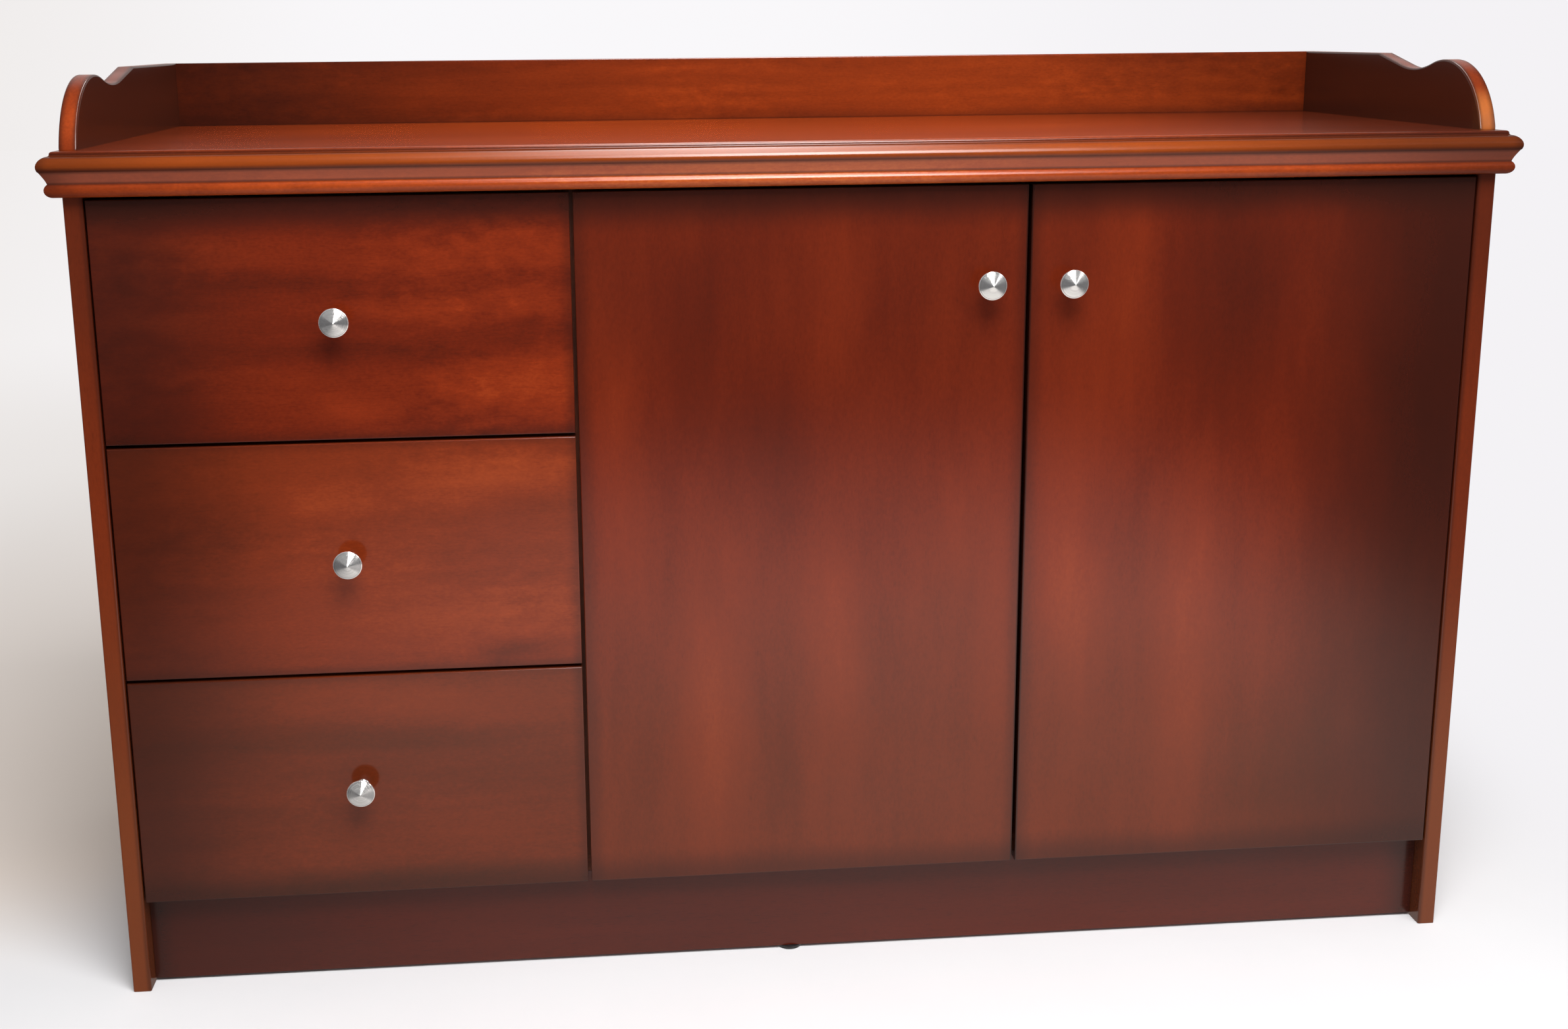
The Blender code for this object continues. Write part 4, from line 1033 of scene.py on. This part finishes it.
@dataclass(frozen=True)
class Carcase:
    """The side panels, the plinth and the boards inside, with their fixings."""

    fittings: Fittings

    def build_outside(self) -> None:
        """Finishes what shows on a closed cupboard."""
        low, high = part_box("left_side_panel")
        inner = -high.x
        for name, side in SIDES.items():
            finish = Mahogany(
                f"mahogany_{name}_side", Grain.Z, 3.0 + side, 0.47 if side < 0 else 0.44, Stain.AMBER,
                Figure(0.22, 0.12, 0.10), shades=(
                    Shade(Z, high.z, 0.34, 0.42, 0.04), Shade(Z, low.z, 0.50, 0.42, 0.12, FOOT_GLAZE),
                    # painted shade on the inner face, dark where it lines the recess over the plinth
                    Shade(X, side * inner, 0.005, 0.50, 0.0008),
                ), gloss=0.18, coat=0.8)
            paint(finish.make(), f"{name}_side_panel")
        plinth = Mahogany(
            "mahogany_plinth", Grain.X, 7.0, 0.33, Stain.RED, Figure(0.14, 0.06, 0.06),
            patches(((0.05, 0.2, -0.75, 0.5, -0.12),)),
            # painted shade under the fronts and at both ends, between the side panels
            (Shade(Z, 0.1, 0.02, 0.30), Shade(X, -inner, 0.030, 0.60), Shade(X, inner, 0.045, 0.70)), gloss=0.20)
        paint(plinth.make(), "plinth")
        paint(self.fittings.finishes.black, "plinth_glide")

    def build_inside(self) -> None:
        """Finishes the boards inside and the back."""
        paint(PlainWood("veneer_upright", Grain.Z, *VENEER, 13.0, 0.45).make(), "divider")
        paint(self.fittings.finishes.inside, "bottom_board", "top_front_rail", "shelf", "shelf_batten_left",
              "shelf_batten_right")
        paint(self.fittings.finishes.panel, "back_panel")

    def build_fixings(self) -> None:
        """The nails of the back panel, and the screws of the battens and of the top rail."""
        low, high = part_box("back_panel")
        divider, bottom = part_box("divider"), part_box("bottom_board")
        upright, base = between(divider[0].x, divider[1].x), between(bottom[0].z, bottom[1].z)
        margin, first, pitch = 0.05, 0.17, 0.13
        places = [(upright, high.y, first + pitch * step) for step in range(6)]
        places += [(between(low.x + margin, high.x - margin, step / 9), high.y, base) for step in range(10)]
        nails = [towards(place, BACK) for place in places]
        self.fittings.fasten(self.fittings.nail, "back_nails", nails, "carcase")
        places = []
        for name, side in SIDES.items():
            low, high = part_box(f"shelf_batten_{name}")
            for share in (0.12, 0.5, 0.88):
                at = (high.x if side < 0 else low.x, between(low.y, high.y, share), between(low.z, high.z))
                places.append(towards(at, (-side, 0.0, 0.0), share))
        low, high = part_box("top_front_rail")
        for share in (0.08, 0.36, 0.64, 0.92):
            at = (between(low.x, high.x, share), between(low.y, high.y) + 0.012, low.z)
            places.append(towards(at, DOWN, share * 7))
        self.fittings.fasten(self.fittings.screw, "carcase_screws", places, "carcase")

    def build(self) -> None:
        """Builds and dresses the carcase."""
        self.build_outside()
        self.build_inside()
        self.build_fixings()


# Drawers


@dataclass(frozen=True)
class Front:
    """What sets a drawer front apart: tone, fleck and glaze, the painted shade along two edges, and its patches."""

    tone: float
    fleck: float
    glaze: float
    head: Row  # reach, strength and full reach of the painted shade along the upper edge: the cornice's shadow on the first drawer, the gap's on the others
    # the same along the lower edge: painted shade in the gap, and over the plinth on the third
    foot: Row
    rows: tuple[Row, ...]  # patches, with their places across the grain from the front's middle


FRONTS = {
    1: Front(0.45, 0.44, 0.0, (0.040, 0.80, 0.010), (0.012, 0.45), (
        (0.065, 0.030, -0.27, 0.20, 0.09), (-0.005, 0.020, -0.62, 0.12, 0.10), (0.012, 0.022, -0.33, 0.20, 0.13),
        (-0.070, 0.050, -0.27, 0.15, 0.20), (-0.030, 0.018, -0.42, 0.25, -0.12), (0.040, 0.016, -0.50, 0.20, -0.10),
        (-0.095, 0.030, -0.44, 0.07, 0.14), (0.070, 0.028, -0.60, 0.20, 0.08), (-0.090, 0.050, -0.61, 0.10, -0.08),
    )),
    2: Front(0.57, 0.34, 0.14, (0.010, 0.30), (0.012, 0.45), (
        (0.075, 0.040, -0.31, 0.13, 0.20), (0.060, 0.030, -0.45, 0.08, 0.12), (0.010, 0.100, -0.60, 0.12, -0.05),
        (-0.060, 0.060, -0.33, 0.24, 0.12), (-0.095, 0.016, -0.28, 0.05, -0.20), (0.0, 0.060, -0.45, 0.16, 0.10),
    )),
    3: Front(0.47, 0.24, 0.24, (0.010, 0.30), (0.034, 0.55, 0.002), (
        (0.085, 0.030, -0.40, 0.26, 0.12), (0.050, 0.020, -0.45, 0.30, -0.10), (-0.040, 0.060, -0.32, 0.14, 0.08),
        (-0.110, 0.035, -0.45, 0.40, -0.17),
    )),
}


@dataclass(frozen=True)
class Drawer:
    """One drawer with its box, knob and runners."""

    number: int
    fittings: Fittings

    @property
    def name(self) -> str:
        """The drawer's body."""
        return f"drawer_{self.number}"

    def finish(self) -> Mahogany:
        """The drawer front's finish: the three are cut from different boards."""
        low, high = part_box(f"{self.name}_front")
        look = FRONTS[self.number]
        # a glaze towards the foot, darker towards the left, and painted shade in the gaps along the right, top and
        # foot
        shades = (
            Shade(Z, low.z, 0.60, look.glaze, 0.30, GLAZE), Shade(X, low.x, 0.190, 0.70, 0.01),
            Shade(X, high.x, 0.014, 0.45), Shade(Z, high.z, *look.head), Shade(Z, low.z, *look.foot),
        )
        return Mahogany(f"mahogany_{self.name}", Grain.X, 50.0 + 3.0 * self.number, look.tone, Stain.RED,
                        Figure(0.22, 0.14, 0.20, look.fleck), patches(look.rows, between(low.z, high.z)), shades)

    def build_box(self) -> None:
        """Finishes the front and the box, and screws the slides on."""
        paint(self.finish().make(), f"{self.name}_front")
        boards = [f"{self.name}_{board}" for board in ("left_side", "right_side", "back")]
        paint(self.fittings.finishes.drawer_wood, *boards)
        paint(self.fittings.finishes.panel, f"{self.name}_bottom")
        places = []
        sheet, rail = 0.0015, 0.0105  # the slide's sheet under a screw's head, and the screws' height on the slide
        for hand, side in SIDES.items():
            slide = f"{self.name}_{hand}_slide"
            paint(self.fittings.finishes.enamel, slide)
            low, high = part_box(f"{self.name}_{hand}_side")
            outer, foot = high.x if side > 0 else low.x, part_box(slide)[0].z
            for share in (0.12, 0.5, 0.85):
                at = (outer + side * sheet, between(low.y, high.y, share), foot + rail)
                places.append(towards(at, (side, 0.0, 0.0), share * 5))
        self.fittings.fasten(self.fittings.screw, f"{self.name}_slide_screws", places, self.name)

    def build_runners(self) -> None:
        """Finishes the runners on the carcase, with their screws and the rivets of their rollers."""
        screws, rivets = [], []
        sheet, axle = 0.0015, (0.012, 0.0121)  # the runner's sheet, and its roller's axle from its front and foot
        for hand, side in SIDES.items():
            runner = f"{self.name}_{hand}_runner"
            paint(self.fittings.finishes.enamel, runner)
            low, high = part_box(runner)
            wall, roller = (high.x, low.x) if side > 0 else (low.x, high.x)
            for share in (0.14, 0.55, 0.92):
                at = (wall - side * sheet, between(low.y, high.y, share), between(low.z, high.z))
                screws.append(towards(at, (-side, 0.0, 0.0), share * 9))
            rivets.append(towards((roller, low.y + axle[0], low.z + axle[1]), (-side, 0.0, 0.0)))
        self.fittings.fasten(self.fittings.screw, f"{self.name}_runner_screws", screws, "carcase")
        self.fittings.fasten(self.fittings.rivet, f"{self.name}_runner_rivets", rivets, "carcase")

    def build(self) -> None:
        """Builds and dresses the drawer."""
        self.build_box()
        self.build_runners()
        Knob(self.name, f"{self.name}_front", self.fittings).build()


# Doors


DOOR_PATCHES = {
    "left": (
        (-0.185, 0.035, 0.60, 0.22, 0.10), (-0.095, 0.060, 0.25, 0.30, 0.13), (0.030, 0.050, 0.35, 0.22, 0.12),
        (0.030, 0.045, 0.72, 0.18, 0.08), (0.195, 0.035, 0.33, 0.28, 0.08), (-0.030, 0.080, 0.57, 0.13, -0.10),
        (-0.020, 0.040, 0.22, 0.20, -0.08), (0.110, 0.060, 0.22, 0.26, -0.05), (-0.110, 0.050, 0.64, 0.12, -0.07),
        (-0.080, 0.120, 0.73, 0.10, -0.05), (-0.178, 0.050, 0.43, 0.12, 0.07), (0.150, 0.045, 0.42, 0.12, 0.05),
        (-0.188, 0.035, 0.70, 0.12, -0.06),
    ),
    "right": (
        (0.325, 0.045, 0.70, 0.22, 0.13), (0.270, 0.060, 0.42, 0.24, 0.11), (0.400, 0.060, 0.33, 0.30, 0.12),
        (0.440, 0.100, 0.70, 0.26, -0.14), (0.640, 0.160, 0.62, 0.40, -0.15), (0.500, 0.120, 0.18, 0.16, -0.14),
        (0.285, 0.050, 0.36, 0.14, 0.06), (0.275, 0.040, 0.62, 0.14, 0.06),
    ),
}


@dataclass(frozen=True)
class Door:
    """One door with its knob and its two concealed hinges."""

    hand: str
    fittings: Fittings

    cup_screw: tuple[float, float] = (0.0017, 0.0215)  # over the door's back, and from the cup's middle
    plate_screw: Point = (0.0055, -0.1605, 0.018)  # from the wall, along Y, and from the arm's middle
    arm_screw_x: float = 0.0133  # from the wall
    arm_screws_y: tuple[float, float] = (-0.146, -0.130)
    bumper_inset: tuple[float, float] = (0.012, 0.010)
    link_ends: tuple[float, float] = (-0.2045, -0.170)
    link_half: tuple[float, float] = (0.0012, 0.0040)

    @property
    def name(self) -> str:
        """The door's body."""
        return f"{self.hand}_door"

    @property
    def side(self) -> int:
        """-1 for the left door, 1 for the right."""
        return SIDES[self.hand]

    def finish(self) -> Mahogany:
        """The door's finish: upright veneer in broad bands."""
        low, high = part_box(self.name)
        left = self.side < 0
        # a glaze towards the foot, darker along the sides and towards the right of the right door, painted shade
        # darker towards the top, the cornice's painted shadow along the top, and painted shade at the foot and in the
        # gap between the doors
        shades = (
            Shade(Z, low.z, 0.45, 0.24, 0.06, GLAZE), Shade(X, low.x, 0.020, 0.40),
            Shade(X, high.x, 0.016, 0.40) if left else Shade(X, high.x, 0.215, 0.78, 0.01),
            Shade(Z, high.z, 0.42, 0.30, 0.12), Shade(Z, high.z, 0.046, 0.74, 0.010),
            Shade(Z, low.z, 0.036, 0.55, 0.002), Shade(X, high.x if left else low.x, 0.0026, 0.85, 0.0007),
        )
        return Mahogany(f"mahogany_{self.name}", Grain.Z, 70.0 + 5.0 * self.side, 0.51, Stain.RED,
                        Figure(0.18, 0.12, 0.16, curl=2.2), patches(DOOR_PATCHES[self.hand]), shades)

    def build_hinges(self) -> None:
        """Finishes cups and arms, with their screws, the links between them and a bumper under the knob."""
        cup_screws, arm_screws = [], []
        low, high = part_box(self.name)
        inwards = -self.side
        for level in ("upper", "lower"):
            cup, arm = f"{self.name}_{level}_cup", f"{self.name}_{level}_arm"
            paint(self.fittings.finishes.nickel, cup, arm)
            (cup_low, cup_high), (arm_low, arm_high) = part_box(cup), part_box(arm)
            x, z = between(cup_low.x, cup_high.x), between(cup_low.z, cup_high.z)
            wall = arm_high.x if inwards < 0 else arm_low.x
            for way in (-1, 1):
                proud, apart = self.cup_screw
                cup_screws.append(towards((x, high.y + proud, z + way * apart), BACK, 0.5 * way))
                out, y, apart = self.plate_screw
                at = (wall + inwards * out, y, z + way * apart)
                arm_screws.append(towards(at, (inwards, 0.0, 0.0), 0.9 * way))
            for y in self.arm_screws_y:
                at = (wall + inwards * self.arm_screw_x, y, z)
                arm_screws.append(towards(at, (inwards, 0.0, 0.0), y * 40))
            self.build_link(level, x, z)
        in_from_edge, up = self.bumper_inset
        free = low.x + in_from_edge if self.side > 0 else high.x - in_from_edge
        fittings = self.fittings
        fittings.fasten(fittings.screw, f"{self.name}_cup_screws", cup_screws, self.name)
        fittings.fasten(fittings.screw, f"{self.name}_arm_screws", arm_screws, "carcase")
        bumper = fittings.bumper.copies(f"{self.name}_bumper", [towards((free, high.y, low.z + up), BACK)])
        bumper.dress(fittings.finishes.rubber, self.name, "black_plastic")

    def build_link(self, level: str, x: float, z: float) -> None:
        """The link of a hinge, a straight bar from the arm to the cup, cut across in steps.

        Args:
            level: "upper" or "lower".
            x: The cup's middle.
            z: The cup's middle.
        """
        steps = 12
        (front, back), (across, up) = self.link_ends, self.link_half
        work = Work.box(f"{self.name}_{level}_link", (x - across, front, z - up), (x + across, back, z + up))
        for step in range(1, steps):
            work.cut((0.0, between(front, back, step / steps), 0.0), BACK)
        work.ease(0.0005, 2)
        work.obj.data.materials.append(self.fittings.finishes.nickel)
        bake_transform(work.obj)
        LOG.info("%s: a link between carcase and %s", work.obj.name, self.name)

    def build(self) -> None:
        """Builds and dresses the door."""
        paint(self.finish().make(), self.name)
        self.build_hinges()
        Knob(self.name, self.name, self.fittings).build()


# The studio


@dataclass(frozen=True)
class Lamp:
    """A soft square lamp."""

    name: str
    place: Point
    target: Point
    size: tuple[float, float]
    power: float

    def build(self) -> None:
        """Hangs the lamp and turns it to its target."""
        light = bpy.data.lights.new(self.name, "AREA")
        light.shape = "RECTANGLE"
        light.size, light.size_y = self.size
        light.energy = self.power
        obj = bpy.data.objects.new(self.name, light)
        obj.location = self.place
        obj.visible_camera = obj.visible_glossy = False
        obj.rotation_euler = (Vector(self.target) - Vector(self.place)).to_track_quat("-Z", "Y").to_euler()
        bpy.context.scene.collection.objects.link(obj)


LAMPS = (
    Lamp("front_lamp", (0.17, -1.70, 2.95), (0.05, -0.15, 0.45), (1.7, 1.3), 130.0),
    Lamp("ceiling_lamp", (0.15, 0.10, 2.60), (0.05, 0.0, 0.85), (1.1, 0.5), 6.0),
    Lamp("side_lamp", (2.15, -2.20, 2.30), (0.0, 0.0, 0.4), (0.9, 0.9), 24.0),
)


@dataclass(frozen=True)
class Studio:
    """A white sheet on the floor, a pale room, three lamps and the camera of the photograph."""

    backdrop: Colour = (0.950, 0.936, 0.955)
    # painted shade, darker and warmer, to the left
    backdrop_left: Colour = (0.870, 0.842, 0.832)
    backdrop_right: Colour = (0.905, 0.888, 0.912)
    backdrop_shadow: Colour = (0.80, 0.765, 0.745)  # painted shadow of the cupboard where the sheet meets the room, far to the left
    paper_dark: Colour = (0.68, 0.675, 0.685)
    paper_light: Colour = (0.71, 0.705, 0.715)
    paper_bounce_light: Colour = (0.76, 0.675, 0.61)  # painted warm light thrown from the left panel onto the floor beside it
    floor_radius: float = 14.0
    floor_z: float = -0.0004
    ambient: float = 0.30
    window: float = 39.0
    side_window: float = 7.0
    ceiling: float = 15.0
    image_width: float = 2380.0
    image_height: float = 1562.0
    focal_px: float = 2636.7255
    centre_px: tuple[float, float] = (1107.33, 620.19)
    eye: Point = (-0.2117, -1.8741, 0.9527)
    yaw: float = 4.790106
    pitch: float = -12.206697
    roll: float = -0.550780
    sensor: float = 36.0

    def backdrop_colour(self, sheet: Sheet, bearing: Wire) -> Wire:
        """The backdrop's colour: palest in the middle, a little darker to the right, and darker and warmer to the
        left, a painted shade.
        """
        colour = sheet.mix(self.backdrop, self.backdrop_left, bearing.step(-0.08, -0.36))
        return sheet.mix(colour, self.backdrop_right, bearing.step(0.10, 0.40))

    def floor_mirrored(self, sheet: Sheet, at: Wire, x: Wire, y: Wire) -> Wire:
        """The floor as the lacquer mirrors it: bright in front of the left and the middle, dim elsewhere.

        Args:
            sheet: The floor's sheet of nodes.
            at: The place.
            x: Its first coordinate.
            y: Its second coordinate.

        Returns:
            The shader.
        """
        ahead = (y * -1.0 - 0.2175).size()
        fade = ahead.step(2.9, 1.0) * (0.74 + ahead.step(0.25, 0.95) * 0.26)
        side = x.step(-1.15, -0.3) * (0.75 + x.step(-0.5, 0.3) * 0.25) * (1.0 - x.step(0.75, 1.4) * 0.9)
        wobble = 0.75 + sheet.noise(at, 2.2, 9.0, 3.0) * 0.5
        strength = fade * side * wobble + ahead.step(3.0, 5.0) * 0.045 + 0.02
        return sheet.add("ShaderNodeEmission", {"Color": (1.0, 0.95, 0.90), "Strength": strength})

    def build_floor(self) -> None:
        """The floor: a white sheet that keeps the shadow, with painted warm light beside the left panel, and fades
        into the backdrop, which has a painted shadow far to the left.
        """
        floor = Work.box("floor", (-self.floor_radius, -self.floor_radius, self.floor_z),
                         (self.floor_radius, self.floor_radius, self.floor_z))
        bpy.ops.mesh.subdivide(number_cuts=3)
        bpy.ops.object.mode_set(mode="OBJECT")
        material, sheet = new_material("paper_floor")
        at, x, y, _ = sheet.place()
        distance = (x * x + y * y) ** 0.5
        # where the left panel throws painted warm light onto the sheet
        beside = x.step(-0.62, -0.82) * y.step(-0.20, 0.10)
        paper = sheet.mix(self.paper_dark, self.paper_light, sheet.noise(at, 6.0, 1.0, 3.0))
        paper = sheet.add("ShaderNodeBsdfDiffuse", {"Color": sheet.mix(paper, self.paper_bounce_light, beside)})
        bearing = (x - self.eye[0]) / ((y - self.eye[1]).size() + 1.2)
        # where the cupboard's painted shadow lies on the backdrop, far to the left
        low = x.step(-0.7, -1.3) * y.step(-0.2, 0.6) * distance.step(4.4, 2.2)
        backdrop = sheet.mix(self.backdrop_colour(sheet, bearing), self.backdrop_shadow, low)
        far = (distance + x.step(0.68, 1.06) * 1.3).step(0.8, 2.6)
        shown = sheet.choose(far, paper, sheet.add("ShaderNodeEmission", {"Color": backdrop}))
        is_glossy = sheet.add("ShaderNodeLightPath", output="Is Glossy Ray")
        sheet.finish(sheet.choose(is_glossy, shown, self.floor_mirrored(sheet, at, x, y)))
        floor.obj.data.materials.append(material)

    def room_mirrored(self, sheet: Sheet, across: Wire, back: Wire, up: Wire) -> Wire:
        """How bright the room is where the cupboard mirrors it: dark, with two windows and a pale ceiling.

        Args:
            sheet: The world's sheet of nodes.
            across: How far the way looked at points to the right.
            back: How far it points to the back.
            up: How far it points up.

        Returns:
            The brightness.
        """
        behind_camera = back.step(0.0, -0.1)
        window = across.hump(0.13, 0.16) * up.step(0.16, 0.27) * up.step(0.72, 0.62) * behind_camera * self.window
        window += across.hump(0.63, 0.09) * up.hump(0.42, 0.26) * behind_camera * self.side_window
        ceiling = across.hump(0.08, 0.16) * up.step(0.64, 0.78) * self.ceiling
        first = sheet.add("ShaderNodeLightPath", output="Glossy Depth").step(1.6, 1.4)
        return 0.030 + up.step(0.15, 0.75) * 0.08 + back.step(0.35, 0.7) * 0.6 + (window + ceiling) * first

    def build_world(self) -> None:
        """The room: the pale backdrop, soft light all round, and what the cupboard mirrors."""
        world = bpy.data.worlds.new("room")
        bpy.context.scene.world = world
        sheet = Sheet(world)
        across, back, up = sheet.split(sheet.add("ShaderNodeTexCoord", output="Generated"))
        is_diffuse = sheet.add("ShaderNodeLightPath", output="Is Diffuse Ray")
        is_glossy = sheet.add("ShaderNodeLightPath", output="Is Glossy Ray")
        colour = self.backdrop_colour(sheet, across / back.size())
        room = self.room_mirrored(sheet, across, back, up)
        white, soft, mirrored = (sheet.add("ShaderNodeBackground", values) for values in (
            {"Color": colour}, {"Color": (1.0, 0.99, 0.98), "Strength": self.ambient},
            {"Color": (1.0, 0.98, 0.96), "Strength": room},
        ))
        sheet.finish(sheet.choose(is_glossy, sheet.choose(is_diffuse, white, soft), mirrored))

    def build_camera(self) -> None:
        """The camera, from the photograph's own perspective."""
        yaw, pitch, roll = (math.radians(angle) for angle in (self.yaw, self.pitch, self.roll))
        forward = Vector((math.sin(yaw) * math.cos(pitch), math.cos(yaw) * math.cos(pitch), math.sin(pitch)))
        level = Vector((math.cos(yaw), -math.sin(yaw), 0.0))
        upright = level.cross(forward)
        right = math.cos(roll) * level + math.sin(roll) * upright
        up = -math.sin(roll) * level + math.cos(roll) * upright
        camera = bpy.data.cameras.new("camera")
        camera.sensor_width = self.sensor
        camera.lens = self.focal_px / self.image_width * self.sensor
        camera.shift_x = (self.image_width / 2 - self.centre_px[0]) / self.image_width
        camera.shift_y = (self.centre_px[1] - self.image_height / 2) / self.image_width
        camera.clip_end = 60.0
        obj = bpy.data.objects.new("camera", camera)
        obj.matrix_world = Matrix.Translation(self.eye) @ Matrix((right, up, -forward)).transposed().to_4x4()
        bpy.context.scene.collection.objects.link(obj)
        bpy.context.scene.camera = obj

    def build(self) -> None:
        """Sets up floor, room, lamps and camera."""
        bpy.context.scene.view_settings.view_transform = "Standard"
        self.build_floor()
        self.build_world()
        for lamp in LAMPS:
            lamp.build()
        self.build_camera()
        LOG.info("studio: floor, room, lamps and camera")


def main() -> None:
    """Builds the cupboard's looks piece by piece."""
    logging.basicConfig(level=logging.INFO, format="%(name)s: %(message)s")
    Studio().build()
    fittings = Fittings.make()
    Carcase(fittings).build()
    Top().build()
    for number in FRONTS:
        Drawer(number, fittings).build()
    for hand in SIDES:
        Door(hand, fittings).build()
    fittings.discard()
    clear_bench()


if __name__ == "__main__":
    main()
